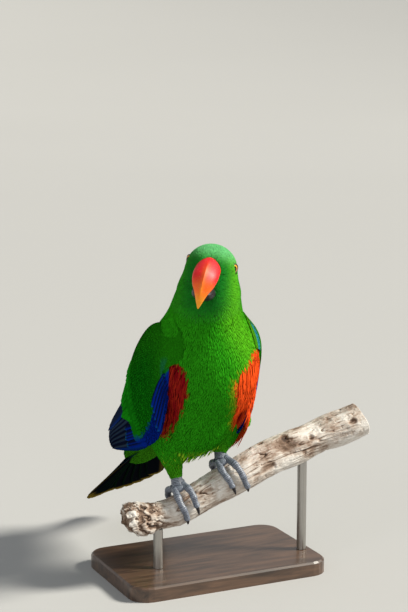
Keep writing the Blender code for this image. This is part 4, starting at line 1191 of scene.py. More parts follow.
def wing_small(name, surface, side, rng):
    """The small coverts in rows over the front of the wing, from the side of the breast."""
    carried = shoulder_surface(surface, side)
    along = np.array([0.0, 0.30, 0.62, 0.86, 1.0])
    across = BROAD_ACROSS
    shape = np.array([0.5, 0.95, 1.0, 0.80, 0.30])
    a_rows = []
    b_rows = []
    sizes = []
    a = SHOULDER_START
    row = 0
    while a < 0.33:
        size = np.interp(a, [0.0, 0.34], [0.0125, 0.024])
        count = int(round(1.0 / (size * 1.15)))
        b = (np.arange(count) + (0.5 if row % 2 else 0.0)) / count
        a_rows.append(np.full(count, a) + rng.normal(0.0, 0.18 * size, count))
        b_rows.append(b + rng.normal(0.0, 0.0025, count))
        sizes.append(np.full(count, size))
        a += size * 0.62
        row += 1
    a0, b0, size = (np.concatenate(rows) for rows in (a_rows, b_rows, sizes))
    kept = (a0 > -0.02) | (b0 > (0.50 if side > 0 else 0.36) + 0.3 * np.maximum(-a0 - 0.1, 0.0))
    a0, b0, size = chosen(kept, a0, b0, size)
    count = len(a0)
    t = along[None, :, None]
    grid_across = np.broadcast_to(across[None, None, :], (count, 5, 5))
    a = a0[:, None, None] + (size * 2.9)[:, None, None] * (t - 0.10 * grid_across**2 * t**2)
    b = b0[:, None, None] + (size * 0.95)[:, None, None] * shape[None, :, None] * grid_across
    p, normal = carried(a, b)
    lift = -0.35 + 0.75 * t - 0.16 * grid_across**2
    p = p + normal * lift[..., None]
    blue = step(blue_below(a0) - b0, -0.012, 0.012)
    top = 0.92 if side > 0 else 0.55
    ahead = 0.10 if side > 0 else 0.0
    teal = (1 - step(a0, -ahead, 0.035 - ahead)) * step(a0, -0.06 - ahead, -0.03 - ahead)
    teal = teal * (1 - step(b0, top - 0.1, top)) * step(b0, 0.12, 0.25)
    green = mix(GREEN, COVERT_GREEN, step(a0, -0.06, 0.20) * (1 - 0.8 * step(b0, 0.45, 0.85)))
    # Painted sunlight: the front of the left wing is a yellower green.
    green = mix(green, PAINTED_SUN_GREEN, 0.85 * (side > 0) * (1 - step(a0, 0.06, 0.28)))
    green = green * (1 + 0.22 * (1 - step(a0, -0.04, 0.12)))[:, None]
    colour = mix(green, WING_BLUE, blue)
    # Painted sunlight: the left wing's teal strip takes the lightened teal, and more of it.
    colour = mix(colour, SUNLIT_TEAL if side > 0 else WING_TEAL, (0.9 if side > 0 else 0.2) * teal)
    shade = (0.78 + 0.36 * t) * (1 - 0.18 * np.abs(grid_across))
    tint = colour[:, None, None, :] * shade[..., None] * (1 + rng.normal(0.0, 0.08, (count, 1, 1, 1)))
    thick = np.full(p.shape[:3], 0.26)
    place = np.stack([0.05 + 0.9 * np.clip(b0, 0, 1), 0.05 + 0.9 * np.clip(a0, 0, 1)], axis=-1)
    return vanes(name + "_coverts", p, normal, thick, tint, across, along, place, rng.random(count))


def make_wing(name, side, material):
    """The wing's shell, which its feathers cover, then the feathers."""
    rng = np.random.default_rng(21 + side)
    surface = wing_surface(side)
    a = np.linspace(0.0, SHELL_END, 40)
    b = np.linspace(0.0, 1.0, 36)
    grid_a, grid_b = np.meshgrid(a, b, indexing="ij")
    point, normal = surface(grid_a, grid_b)
    front = np.sqrt(np.minimum(1.0, grid_a / 0.12 + 0.02))
    rear = np.sqrt(np.maximum(0.06, 1.0 - (np.maximum(grid_a - SHELL_END + 0.12, 0.0) / 0.12) ** 2))
    edge = np.sqrt(np.maximum(1.0 - (2.0 * grid_b - 1.0) ** 6, 0.0))
    lift = 2.6 * front * rear * edge - 0.9
    depth = (WING_THICK - 1.5) * front * rear * (0.25 + 0.75 * edge)
    middle = point + normal * ((lift - depth) / 2)[..., None]
    under = mix(SHADED_FLANK_RED, FLIGHT_DARK, step(grid_a, 0.34, 0.50))
    tint = mix(COVERT_GREEN * 0.8, WING_BLUE, step(blue_below(grid_a) - grid_b, -0.02, 0.02))
    # On the left wing, the flank's feathers cover its lower edge, and the shell there takes their red, mostly
    # turned orange as painted sunlight.
    if side > 0:
        covered = (1 - step(grid_b, 0.14, 0.20)) * (1 - step(grid_a, 0.36, 0.46))
        tint = mix(tint, mix(SHADED_FLANK_RED, FLANK_ORANGE_AND_SUN, 0.75), covered)
    shell = vanes(name + "_shell", middle[None], normal[None], (lift + depth)[None], tint[None],
                  np.linspace(-1, 1, len(b)), np.linspace(0, 1, len(a)), np.array([[0.5, 0.5]]), np.zeros(1),
                  under[None])
    dress(shell, material)
    wing_feathers(name, surface, material, rng)
    dress(wing_small(name, surface, side, rng), material)


# The tail

def tail_surface():
    def point(a, b):
        angle = np.radians(b)
        reach = TAIL_LENGTH * a
        arch = -5.0 * np.abs(b / TAIL_SPREAD) ** 1.6 * (0.4 + 0.6 * a)
        local = np.stack([reach * np.sin(angle), reach * np.cos(angle), arch - 4.0 * a * a], axis=-1)
        return local @ TAIL_TURN.T + TAIL_ROOT

    def surface(a, b):
        a, b = np.broadcast_arrays(np.asarray(a, float), np.asarray(b, float))
        da = point(a + 0.01, b) - point(a - 0.01, b)
        db = point(a, b + 0.5) - point(a, b - 0.5)
        return point(a, b), unit(np.cross(db, da))

    return surface


def make_tail(material):
    """Twelve feathers in pairs, the middle pair on top, then the coverts over their roots."""
    rng = np.random.default_rng(31)
    surface = tail_surface()
    along = np.linspace(0.0, 1.0, 18)
    along = np.where(along > 0.7, 0.7 + 0.3 * np.sin((along - 0.7) / 0.3 * np.pi / 2), along)
    across = np.array([-1.0, -0.7, -0.36, -0.1, 0.1, 0.36, 0.7, 1.0])
    grids = []
    for pair in range(TAIL_PAIRS):
        share = (pair + 0.4) / TAIL_PAIRS
        length = TAIL_LENGTH + (TAIL_OUTER_LENGTH - TAIL_LENGTH) * share**2
        for side in (1, -1):
            level = -0.53 * (2 * pair + (side < 0))
            a = 0.03 + (length / TAIL_LENGTH - 0.03 - 0.008 * (side < 0)) * along
            wide = RECTRIX_WIDTH / 2 * (0.4 + 0.6 * step(along, 0.0, 0.45))
            wide = wide * np.sqrt(np.maximum(1 - (np.maximum(along - 0.86, 0.0) / 0.145) ** 2, 0.02))
            half = np.degrees(np.arctan2(wide, TAIL_LENGTH * np.maximum(a, 0.12)))
            b = side * TAIL_SPREAD * share + half[:, None] * across[None, :]
            grid_a = a[:, None] - 0.004 * across[None, :] ** 2 * along[:, None] ** 8
            p, normal = surface(grid_a, b)
            ridge = 0.16 * np.exp(-((across / 0.14) ** 2)) - 0.15 * across**2
            p = p + normal * (level + ridge)[None, :, None]
            outer = across * side
            top = mix(COVERT_GREEN, FLIGHT_BLUE, 0.8 * step(outer, -0.2, 0.8) * share)
            tint = mix(np.broadcast_to(top[None], p.shape), TAIL_DARK,
                       np.broadcast_to(0.8 * step(along, 0.35, 0.9)[:, None] * share, p.shape[:2]))
            tip = 0.8 * step(along, 0.945, 0.985)[:, None] * np.ones(len(across))
            tint = mix(tint, TAIL_DARK, 0.9 * step(np.abs(across), 0.80, 0.97) * np.ones((len(along), 1)))
            tint = mix(tint, TAIL_TIP, tip)
            under = mix(np.broadcast_to(TAIL_DARK, p.shape), TAIL_TIP, 0.8 * tip)
            rim = 0.8 * step(outer, 0.55, 0.75) * np.ones((len(along), 1)) * (pair == TAIL_PAIRS - 1)
            under = mix(under, TAIL_TIP * 0.6, 0.6 * rim)
            grids.append((p, normal, tint, share * side, under))
    p, normal, tint, share, under = (np.stack(part) for part in zip(*grids))
    place = np.stack([0.5 + 0.4 * share, np.full(len(share), 0.1)], axis=-1)
    thick = np.full(p.shape[:3], 0.36)
    tail = vanes("tail_feathers", p, normal, thick, tint, across, along, place, rng.random(len(p)), under)
    dress(tail, material, ("tail",))
    make_tail_coverts(surface, material, rng)


def make_tail_coverts(surface, material, rng):
    root, normal = surface(np.array([0.16]), np.array([0.0]))
    centre = root[0] - normal[0] * TAIL_ROOT_HALF[2] * 0.3
    rotation = turn("x", -TAIL_DROP)
    half = TAIL_ROOT_HALF

    def distance(p):
        return ellipsoid((p - centre) @ rotation, half)

    verts, faces = ball(centre, half - 1.2, 20, 28, rotation)
    core = add_form("tail_root", verts + FEET, faces)
    # The root under the tail coverts is green at half brightness: painted shade under the feathers.
    set_values(core.data, "tint", np.broadcast_to(GREEN * 0.5, verts.shape))
    dress(core, material)
    grid = ball_grid(np.linspace(0.05, np.pi - 0.05, 40), 60)[..., [0, 2, 1]] * (1.0, -1.0, 1.0)
    grid = (grid * half) @ rotation.T + centre
    p = area_draw(grid, TAIL_COVERTS_DRAWN, rng)
    p = settle(distance, p, 0.0, 2)
    p = p[(body_distance(p) > -3.0) & (((p - centre) @ rotation)[:, 1] < 0.78 * half[1])]
    p = p[spread(p, np.full(len(p), 1.7))]
    facing = slope_of(distance, p)
    lie = laid(np.broadcast_to(TAIL_TURN[:, 1], p.shape), facing)
    under = step(-facing @ TAIL_TURN[:, 2], -0.2, 0.4)
    colour = mix(np.broadcast_to(COVERT_GREEN * 1.1, p.shape), VENT_LIME, 0.10 * under)
    size = np.full(len(p), 2.0)
    length = size * rng.uniform(3.8, 5.4, len(p))
    depth = np.full(len(p), 1.0)
    place = np.stack([0.5 + 0.4 * facing[:, 0], 0.3 + 0.3 * facing[:, 2]], axis=-1)
    piece = coat_vanes("tail_coverts", distance, p, facing, lie, length, size * 1.9, (-depth, 0.4 * depth),
                       colour, place, rng, broad=True)
    dress(piece, material)


# The bill and the eyes

def upper_bill_rings(count, sides):
    t = np.linspace(0.0, 1.0, count)
    ridge = smooth_curve(BILL_RIDGE, t)
    inner = smooth_curve(BILL_INNER, t)
    width = smooth_curve(BILL_WIDTH, t)[:, 0]
    middle = (ridge + inner) / 2
    half = (ridge - inner) / 2
    angle = ring_angles(sides)
    depth = np.cos(angle)
    crisp = BASE_SHARP + (RIDGE_SHARP - BASE_SHARP) * step(t, 0.02, 0.34)[:, None]
    power = np.where(depth > 0, crisp, EDGE_SHARP)
    across = np.sign(np.sin(angle)) * np.abs(np.sin(angle)) ** power
    rings = np.zeros((count, sides, 3))
    rings[..., 0] = width[:, None] * across
    rings[..., 1:] = middle[:, None, :] + half[:, None, :] * depth[None, :, None]
    return rings, t, angle


def make_bill(upper_material, lower_material):
    """The upper bill, red at the face and golden at the tip, and the black lower bill under it."""
    rings, t, angle = upper_bill_rings(72, 56)
    verts, faces = loft(rings)
    upper = add_form("bill_upper_horn", on_head(verts) + FEET, faces)
    along = np.concatenate([np.repeat(t, len(angle)), [0.0, 1.0]])
    top = np.concatenate([np.tile(np.cos(angle), len(t)), [0.0, 0.0]])
    ridge = step(top, 0.75, 1.0)
    share = np.maximum(step(along, 0.36, 0.62), 0.9 * ridge * step(along, 0.14, 0.40))
    tint = mix(BILL_RED, BILL_ORANGE, share)
    share = np.maximum(step(along, 0.60, 0.86), 0.5 * ridge * step(along, 0.42, 0.66))
    tint = mix(tint, BILL_YELLOW, share)
    set_values(upper.data, "tint", tint)
    dress(upper, upper_material, ("bill_upper",))
    u = np.linspace(0.0, 1.0, 30)
    path = smooth_curve(LOWER_BILL, u)
    around = ring_angles(40)
    rings = np.zeros((len(u), len(around), 3))
    rings[..., 0] = path[:, 2:3] * np.sin(around)[None, :]
    rings[..., 1] = path[:, 0:1] - 1.5 * np.cos(around)[None, :] * u[:, None]
    rings[..., 2] = path[:, 1:2] + path[:, 3:4] * np.cos(around)[None, :]
    verts, faces = loft(rings)
    lower = add_form("bill_lower_horn", on_head(verts) + FEET, faces)
    dress(lower, lower_material, ("bill_lower",))


def make_eyes(material, lid_material):
    """The eyeballs, marked by the angle from the middle of the iris, and the wrinkled rings round them."""
    for label, side in (("left", 1), ("right", -1)):
        centre, look = eye_place(side)
        verts, faces = ball(centre, (EYE_RADIUS,) * 3, 28, 40, turn("y", 90.0))
        eye = add_form("eyeball_" + label, on_head(verts) + FEET, faces)
        ahead = turn("z", -side * IRIS_FORWARD) @ look
        facing = (unit(verts - centre) * ahead).sum(1)
        off = np.degrees(np.arccos(np.clip(facing, -1.0, 1.0)))
        set_values(eye.data, "vane", np.stack([off / 90.0, off * 0, off * 0], axis=-1))
        dress(eye, material, ("eye_" + label,))
        angle = ring_angles(40)
        over = np.array([0.0, 0.0, 1.0])
        across = np.cross(over, look)
        round_eye = np.cos(angle)[:, None] * across + np.sin(angle)[:, None] * over * LID_FLATTEN
        profile = ring_angles(12)
        wrinkle = 1 + 0.10 * np.sin(angle * 13.0)[:, None]
        wide = LID_RADIUS + LID_THICK * wrinkle * np.cos(profile)[None, :]
        rings = (centre + look * LID_OUT + round_eye[:, None, :] * wide[..., None]
                 + look * LID_THICK * np.sin(profile)[None, :, None])
        corner = np.arange(rings[..., 0].size).reshape(len(angle), len(profile))
        after = np.roll(corner, -1, axis=0)
        faces = np.stack([corner, np.roll(corner, -1, axis=1), np.roll(after, -1, axis=1), after], axis=-1)
        lid = add_form("lid_" + label, on_head(rings.reshape(-1, 3)) + FEET, faces.reshape(-1, 4).tolist())
        dress(lid, lid_material)


# The feet and the branch

def on_perch(points):
    return np.asarray(points) @ PERCH_TURN.T + FEET


def perch_radius(s):
    return np.interp(s, PERCH_PATH[:, 0], PERCH_PATH[:, 3])


def toe_radius(u):
    return TOE_RADIUS * (1.0 - 0.22 * u) * (1.0 + 0.07 * np.cos(2 * np.pi * 3.0 * u))


def toe_path(foot_at, side, toe, count):
    """Points of a toe that follows the branch round its section, in the branch's own frame."""
    _, out, way, reach, drift = toe
    u = np.linspace(0.0, 1.0, count)
    angle = np.radians(4.0 + (reach - 4.0) * u) * way
    s = foot_at + side * (out * (3.4 + 1.6 * np.sin(np.pi * np.minimum(u * 1.2, 1))) + drift * u)
    radius = toe_radius(u)
    rise = perch_radius(s) + radius + GAP + 1.2 * np.sin(np.pi * u) ** 2 + 1.4 * (1 - u) ** 3
    lean = -rise * np.sin(angle)
    up = rise * np.cos(angle) - PERCH_DEPTH
    return np.stack([s, lean, up], axis=-1), radius, u


def claw_path(toe_points, toe_radii, count):
    end = toe_points[-1]
    along = unit(toe_points[-1] - toe_points[-2])
    inward = unit(np.array([0.0, -end[1], -(end[2] + PERCH_DEPTH)]))
    u = np.linspace(0.0, 1.0, count)
    bend = np.radians(52.0)
    turned = np.sin(bend * u)[:, None] * along + (1 - np.cos(bend * u))[:, None] * inward
    path = end + along * GAP + turned * CLAW_LENGTH / bend * 0.98
    radii = toe_radii[-1] * 0.72 * (1 - u) ** 0.8 + 0.22
    gap = np.hypot(path[:, 1], path[:, 2] + PERCH_DEPTH)
    need = perch_radius(path[:, 0]) + radii + GAP
    push = np.maximum(need - gap, 0.0)[:, None]
    outward = np.stack([np.zeros(count), path[:, 1], path[:, 2] + PERCH_DEPTH], axis=-1)
    return path + unit(outward) * push, radii


def scute(phase):
    """The profile of overlapping ring scales: each rises slowly and ends in a step."""
    part = phase % 1.0
    return part**0.7 * (1 - step(part, 0.86, 1.0))


def make_feet(foot_material, claw_material):
    """Each foot's pad, ringed toes and shank as one piece, and its claws."""
    for label, side in (("left", 1), ("right", -1)):
        at = side * FOOT_SPACING / 2
        top = perch_radius(at) - PERCH_DEPTH + GAP
        verts, faces = ball((at, 0.0, top + 3.6), (6.4, 7.6, 3.9), 24, 36)
        shapes = [(on_perch(verts), faces)]
        heights = [np.full(len(verts), 0.6)]
        for toe in TOES:
            points, radii, u = toe_path(at, side, toe, 90)
            scales = 24.0 if toe[3] > 80 else 19.0
            rings = tube(points, radii, 28, 0.98)
            middle = points[:, None, :]
            round_toe = ring_angles(28)
            away = unit(rings - middle)
            up = unit(np.stack([0 * points[:, 0], points[:, 1], points[:, 2] + PERCH_DEPTH], axis=-1))
            crest = np.clip((away * up[:, None, :]).sum(-1), -1.0, 1.0)
            ripple = SCALE_RISE * (scute(u * scales)[:, None] - 0.5) * step(crest, -0.35, 0.45)
            pads = 0.25 * np.sin(round_toe[None, :] * 9 + u[:, None] * 95.0) * step(-crest, -0.1, 0.5)
            rings = rings + away * (ripple + 0.35 * pads)[..., None]
            verts, faces = loft(rings)
            shapes.append((on_perch(verts), faces))
            heights.append(np.concatenate([(ripple / SCALE_RISE + 0.5).ravel(), [0.5, 0.5]]))
            claw, thick = claw_path(points[::10], radii[::10], 22)
            verts, faces = loft(tube(claw, thick, 20))
            name = label + "_" + toe[0]
            dress(add_form("talon_" + name, on_perch(verts), faces), claw_material, ("claw_" + name,))
        sole = on_perch([(at, 0.0, perch_radius(at) - PERCH_DEPTH + 5.0)])[0]
        ankle = ankle_place(side) + FEET
        u = np.linspace(0.0, 1.0, 40)
        path = ankle + u[:, None] * (sole - ankle)
        rings = scute(u * 6.0)
        shapes.append(loft(tube(path, np.linspace(4.6, 5.2, 40) + 0.3 * (rings - 0.5), 32)))
        heights.append(np.concatenate([np.repeat(rings, 32), [0.5, 0.5]]))
        points, faces = joined(shapes)
        foot = add_form("foot_skin_" + label, points, faces)
        height = np.concatenate(heights)
        set_values(foot.data, "vane", np.stack([height, height, height], axis=-1))
        dress(foot, foot_material, ("foot_" + label,))


# Knots of the branch: place along it, angle round it from its top, size and height
KNOTS = ((118.0, -28.0, 9.0, 2.0), (74.0, -58.0, 8.0, -2.4), (-60.0, 60.0, 8.0, 1.2),
         (134.0, -60.0, 8.0, 2.0), (90.0, 100.0, 8.0, 1.4), (50.0, -20.0, 6.0, 0.8))


def value_noise(shape, seed, cells):
    """Smooth noise from -1 to 1 on a grid that closes on itself in its second direction."""
    rng = np.random.default_rng(seed)
    rows, columns = cells
    coarse = rng.uniform(-1.0, 1.0, (rows + 2, columns))
    x = np.linspace(0.0, rows, shape[0])[:, None] * np.ones((1, shape[1]))
    y = np.linspace(0.0, columns, shape[1], endpoint=False)[None, :] * np.ones((shape[0], 1))
    i = np.minimum(x.astype(int), rows)
    j = y.astype(int)
    fx = step(x - i, 0.0, 1.0)
    fy = step(y - j, 0.0, 1.0)
    k = (j + 1) % columns
    after = np.minimum(i + 1, rows + 1)
    low = coarse[i, j % columns] * (1 - fy) + coarse[i, k] * fy
    high = coarse[after, j % columns] * (1 - fy) + coarse[after, k] * fy
    return low * (1 - fx) + high * fx


def make_perch(material):
    """The driftwood: long grain, cracks, pits and a broken left end, over the solids' own ridges."""
    count, sides = 420, 200

    def noise(seed, *cells):
        return value_noise((count, sides), seed, cells)

    low, high = PERCH_PATH[0, 0], PERCH_PATH[-1, 0]
    s = np.linspace(low, high, count)
    share = np.interp(s, PERCH_PATH[:, 0], np.linspace(0, 1, len(PERCH_PATH)))
    drift = smooth_curve(PERCH_PATH[:, 1:], share)
    angle = ring_angles(sides)
    away = np.clip((np.abs(s) - 38.0) / 20.0, 0.0, 1.0)[:, None]
    ridge = away * (0.7 * np.sin(3 * angle[None, :] + s[:, None] * 0.05)
                    + 0.5 * np.sin(5 * angle[None, :] - s[:, None] * 0.11))
    grain = 0.30 * noise(41, 22, 64) + 0.20 * noise(42, 70, 100)
    broad = 0.8 * noise(43, 9, 7) * (0.25 + 0.75 * away)
    pits = -1.3 * step(noise(44, 22, 11), 0.58, 0.88) * (0.35 + 0.65 * away)
    specks = -0.35 * step(noise(52, 110, 46), 0.60, 0.9)
    crack = noise(45, 8, 26)
    cracks = -1.3 * np.exp(-((crack / 0.06) ** 2)) * step(noise(46, 8, 5), -0.2, 0.2)
    knots = np.zeros((count, sides))
    for place, around, size, height in KNOTS:
        turned = (np.degrees(angle) - around + 180.0) % 360.0 - 180.0
        off = np.hypot((s[:, None] - place) / size, np.radians(turned)[None, :] * 15.0 / size)
        knots += height * np.exp(-off**2) * (1 - 0.5 * np.exp(-((off / 0.35) ** 2)))
    fibre = noise(50, 40, 100)
    furrows = -0.45 * step(fibre, 0.35, 0.80) * step(noise(51, 16, 7), -0.3, 0.4)
    bark = np.exp(-(np.maximum(s - low - 20.0, 0.0) / 9.0) ** 2)[:, None]
    crust = noise(53, 70, 22) + 0.5 * noise(54, 150, 48)
    crust = bark * (0.9 * np.clip(crust, -1.1, 0.7) - 0.9 * step(0.16 - np.abs(crust + 0.25), 0.0, 0.14))
    relief = grain + broad + pits + specks + cracks + furrows * (0.4 + 0.6 * away) + crust
    tone = relief - 0.2 + 0.55 * bark * np.clip(crust, -2.0, -0.1) - 0.25 * bark
    relief = tone + knots * away
    radius = drift[:, 2:3] + ridge + relief
    local = np.zeros((count, sides, 3))
    local[..., 0] = s[:, None]
    local[..., 1] = drift[:, 0:1] + radius * np.sin(angle)[None, :]
    local[..., 2] = drift[:, 1:2] - PERCH_DEPTH + radius * np.cos(angle)[None, :]
    broken = 2.5 * np.sin(2 * angle + 0.6) + 1.6 * value_noise((2, sides), 47, (1, 30))[0]
    near_end = np.exp(-(s - low) / 9.0)[:, None]
    local[..., 0] += near_end * broken[None, :]
    left_end = end_cap(local[0], 12, 48, 5.0)
    right_end = end_cap(local[-1], 6, 49, 0.0)
    rings = np.concatenate([left_end[::-1], local, right_end])
    verts, faces = loft(rings)
    perch = add_form("driftwood", on_perch(verts), faces)
    tone = tone + np.minimum(knots, 0.0) * 0.6
    hollow = -1.0 - 1.0 * value_noise((len(left_end), sides), 55, (6, 30))
    depth = np.concatenate([hollow, tone, np.full((len(right_end), sides), -0.4)])
    depth = np.concatenate([depth.ravel(), [-2.4, -0.4]])
    axis = np.concatenate([rings[..., 0].ravel(), [low, high]])
    values = np.stack([depth, axis / 100.0, np.zeros(len(depth))], axis=-1)
    set_values(perch.data, "vane", values)
    dress(perch, material, ("perch",))


def end_cap(rim, rounds, seed, hollow):
    """Rings that close an end toward its middle, roughened and hollowed."""
    middle = rim.mean(0)
    rings = []
    for k in range(1, rounds + 1):
        share = 1 - k / (rounds + 0.5)
        ring = middle + (rim - middle) * share
        noise = value_noise((2, len(rim)), seed + k, (1, 24))[0]
        ring[:, 0] += hollow * (1 - share**3) + 0.7 * noise
        rings.append(ring)
    return np.array(rings)


# Materials

class Paint:
    """A material, with short ways to build its nodes. A value is a constant or another node's output."""

    def __init__(self, name, **settings):
        """The settings are the shader's own sockets, with _ for each space of their names."""
        self.material = bpy.data.materials.new(name)
        self.material.use_nodes = True
        self.tree = self.material.node_tree
        self.shader = self.tree.nodes["Principled BSDF"]
        for socket, value in settings.items():
            self.shader.inputs[socket.replace("_", " ")].default_value = value

    def feed(self, socket, value):
        if isinstance(value, (int, float, tuple)):
            socket.default_value = value
        else:
            self.tree.links.new(value, socket)

    def node(self, kind, **settings):
        """A node whose inputs, or else its own settings, take the values of the same names."""
        made = self.tree.nodes.new(kind)
        for key, value in settings.items():
            if key in made.inputs:
                self.feed(made.inputs[key], value)
            else:
                setattr(made, key, value)
        return made

    def maths(self, operation, *values, clamp=False):
        made = self.node("ShaderNodeMath", operation=operation, use_clamp=clamp)
        for socket, value in zip(made.inputs, values):
            self.feed(socket, value)
        return made.outputs[0]

    def mixed(self, share, first, second, how="MIX"):
        made = self.node("ShaderNodeMix", data_type="RGBA", blend_type=how)
        for key, value in (("Factor", share), (6, first), (7, second)):
            self.feed(made.inputs[key], value)
        return made.outputs[2]

    def scaled(self, colour, factors):
        return self.mixed(1.0, colour, (*factors, 1.0), "MULTIPLY")

    def stored(self, name):
        """What set_values stored on the mesh's points under a name."""
        return self.node("ShaderNodeAttribute", attribute_type="GEOMETRY", attribute_name=name).outputs

    def vane(self):
        return self.node("ShaderNodeSeparateXYZ", Vector=self.stored("vane")["Vector"]).outputs

    def place(self, stretch=None, lean=0.0):
        """The model's own coordinates, or those drawn out along an axis that leans forward."""
        place = self.node("ShaderNodeTexCoord").outputs["Object"]
        if stretch is None:
            return place
        rotation = (0.0, math.radians(lean), 0.0)
        return self.node("ShaderNodeMapping", Vector=place, Rotation=rotation, Scale=stretch).outputs[0]

    def noise(self, scale, detail, roughness=0.5, place=None, distortion=0.0):
        made = self.node("ShaderNodeTexNoise", Vector=place or self.place(), Scale=scale, Detail=detail,
                         Roughness=roughness, Distortion=distortion)
        return made.outputs["Fac"]

    def ramp(self, value, stops):
        """Colours between stops, each a place from 0 to 1 and the colour there."""
        made = self.node("ShaderNodeValToRGB", Fac=value)
        elements = made.color_ramp.elements
        elements[0].position = stops[0][0]
        elements[1].position = stops[-1][0]
        for place, _ in stops[1:-1]:
            elements.new(place)
        for element, (_, colour) in zip(elements, stops):
            element.color = (*colour, 1.0)
        return made.outputs[0]

    def bump(self, height, strength, distance, invert=False):
        made = self.node("ShaderNodeBump", Strength=strength, Distance=distance, Height=height, invert=invert)
        self.tree.links.new(made.outputs[0], self.shader.inputs["Normal"])

    def finish(self, colour):
        self.tree.links.new(colour, self.shader.inputs["Base Color"])
        return self.material


def plumage_material(name, roughness, sheen, sheen_tint, barbs, streaks, strength, shaft_depth):
    """Feathers: the tint that each vane carries, with barbs that slant off its shaft, fine streaks along it
    and soft uneven patches."""
    paint = Paint(name, Roughness=roughness, Specular_IOR_Level=0.0, Sheen_Weight=sheen, Sheen_Roughness=0.4,
                  Sheen_Tint=sheen_tint)
    tint = paint.stored("tint")["Color"]
    across, along, chance = paint.vane()
    width = paint.maths("ABSOLUTE", across)
    slant = paint.maths("SUBTRACT", paint.maths("MULTIPLY", along, barbs),
                        paint.maths("MULTIPLY", width, barbs * 0.22))
    slant = paint.maths("ADD", slant, paint.maths("MULTIPLY", across, streaks))
    slant = paint.maths("ADD", slant, paint.maths("MULTIPLY", chance, 40.0))
    wave = paint.maths("SINE", paint.maths("MULTIPLY", slant, 2 * math.pi))
    ripple = paint.maths("MULTIPLY_ADD", wave, 0.5, 0.5)
    share = paint.maths("MULTIPLY", paint.maths("ADD", ripple, paint.noise(700.0, 3.0)), 0.5, clamp=True)
    dark = paint.scaled(tint, (0.70, 0.76, 0.72))
    pale = paint.scaled(tint, (1.30, 1.18, 1.20))
    shaft = paint.maths("SUBTRACT", 1.0, paint.maths("MULTIPLY", width, 11.0), clamp=True)
    shaft = paint.maths("MULTIPLY", shaft, shaft_depth)
    paint.bump(share, strength, 0.0003)
    return paint.finish(paint.mixed(shaft, paint.mixed(share, dark, pale), dark))


def skin_material():
    paint = Paint("skin_green", Roughness=0.9)
    tint = paint.stored("tint")["Color"]
    return paint.finish(paint.mixed(paint.noise(420.0, 4.0), paint.scaled(tint, (0.5, 0.5, 0.5)), tint))


def horn_material(name, base, flakes, roughness, scale):
    """Bill and claws: fine growth lines, small scratches and flakes, under a soft gloss. On the bill the pale
    flakes are partly its flaking horn and partly a painted highlight. Without a base colour the horn has the
    tint stored on its points."""
    paint = Paint(name, Roughness=roughness, Specular_IOR_Level=0.25, Coat_Weight=0.10, Coat_Roughness=0.35)
    base = base or paint.stored("tint")["Color"]
    fine = paint.noise(scale, 5.0, 0.6)
    share = paint.maths("MULTIPLY_ADD", paint.noise(scale * 0.12, 3.0), 2.2, -0.6, clamp=True)
    body = paint.mixed(share, paint.scaled(base, (0.72, 0.62, 0.60)), base)
    flake = paint.maths("MULTIPLY", paint.maths("SUBTRACT", fine, 0.58, clamp=True), 3.0, clamp=True)
    paint.bump(fine, 0.25, 0.0003)
    return paint.finish(paint.mixed(paint.maths("MULTIPLY", flake, 0.35), body, flakes))


def eye_material():
    """The iris ring round a black pupil, by the angle from the way that the eye looks."""
    paint = Paint("eye_iris", Roughness=0.12, Specular_IOR_Level=0.20, Coat_Weight=0.25, Coat_Roughness=0.02)
    colour = paint.ramp(paint.vane()[0], (
        (0.0, (0.002, 0.002, 0.002)), (0.31, (0.003, 0.002, 0.002)), (0.325, (0.45, 0.18, 0.01)),
        (0.40, (0.85, 0.45, 0.03)), (0.50, (0.60, 0.26, 0.020)), (0.60, (0.006, 0.005, 0.005))))
    return paint.finish(paint.mixed(paint.noise(900.0, 4.0), paint.scaled(colour, (0.55, 0.5, 0.5)), colour))


def scaly_material(name, low, high, scale, roughness, ringed=False):
    """Bare skin of the feet and lids: small plates with pale ridges and dark seams, partly the skin's own tone
    and partly a painted highlight on the ridges and painted shade in the seams.
    """
    paint = Paint(name, Roughness=roughness)
    cells = paint.node("ShaderNodeTexVoronoi", Vector=paint.place(), Scale=scale).outputs["Distance"]
    share = paint.maths("ADD", cells, paint.noise(scale * 0.3, 4.0))
    share = paint.maths("MULTIPLY", share, 0.62, clamp=True)
    # Ringed skin is paler where its scales stand highest, partly a painted highlight.
    if ringed:
        share = paint.maths("SUBTRACT", paint.maths("ADD", share, 0.45), paint.vane()[0], clamp=True)
    paint.bump(cells, 0.5, 0.0004, invert=True)
    return paint.finish(paint.mixed(share, high, low))


def driftwood_material():
    """Weathered wood: silver-grey ridges, brown hollows, dark pits and fine grain along the branch."""
    paint = Paint("driftwood_grey", Roughness=0.82)
    grain = paint.noise(900.0, 6.0, 0.62, paint.place((0.12, 1.0, 1.0), PERCH_RISE))
    depth = paint.maths("MULTIPLY_ADD", paint.vane()[0], 0.40, 0.76, clamp=True)
    patchy = paint.maths("MULTIPLY", paint.maths("SUBTRACT", paint.noise(60.0, 5.0, 0.6), 0.42), 1.1)
    tone = paint.maths("ADD", paint.maths("MULTIPLY", depth, 0.62), patchy)
    tone = paint.maths("ADD", tone, paint.maths("MULTIPLY", grain, 0.42), clamp=True)
    paint.bump(grain, 0.7, 0.0008)
    return paint.finish(paint.ramp(tone, (
        (0.12, (0.020, 0.012, 0.010)), (0.32, (0.13, 0.075, 0.045)), (0.50, (0.28, 0.20, 0.15)),
        (0.64, (0.47, 0.40, 0.34)), (0.84, (0.66, 0.62, 0.57)))))


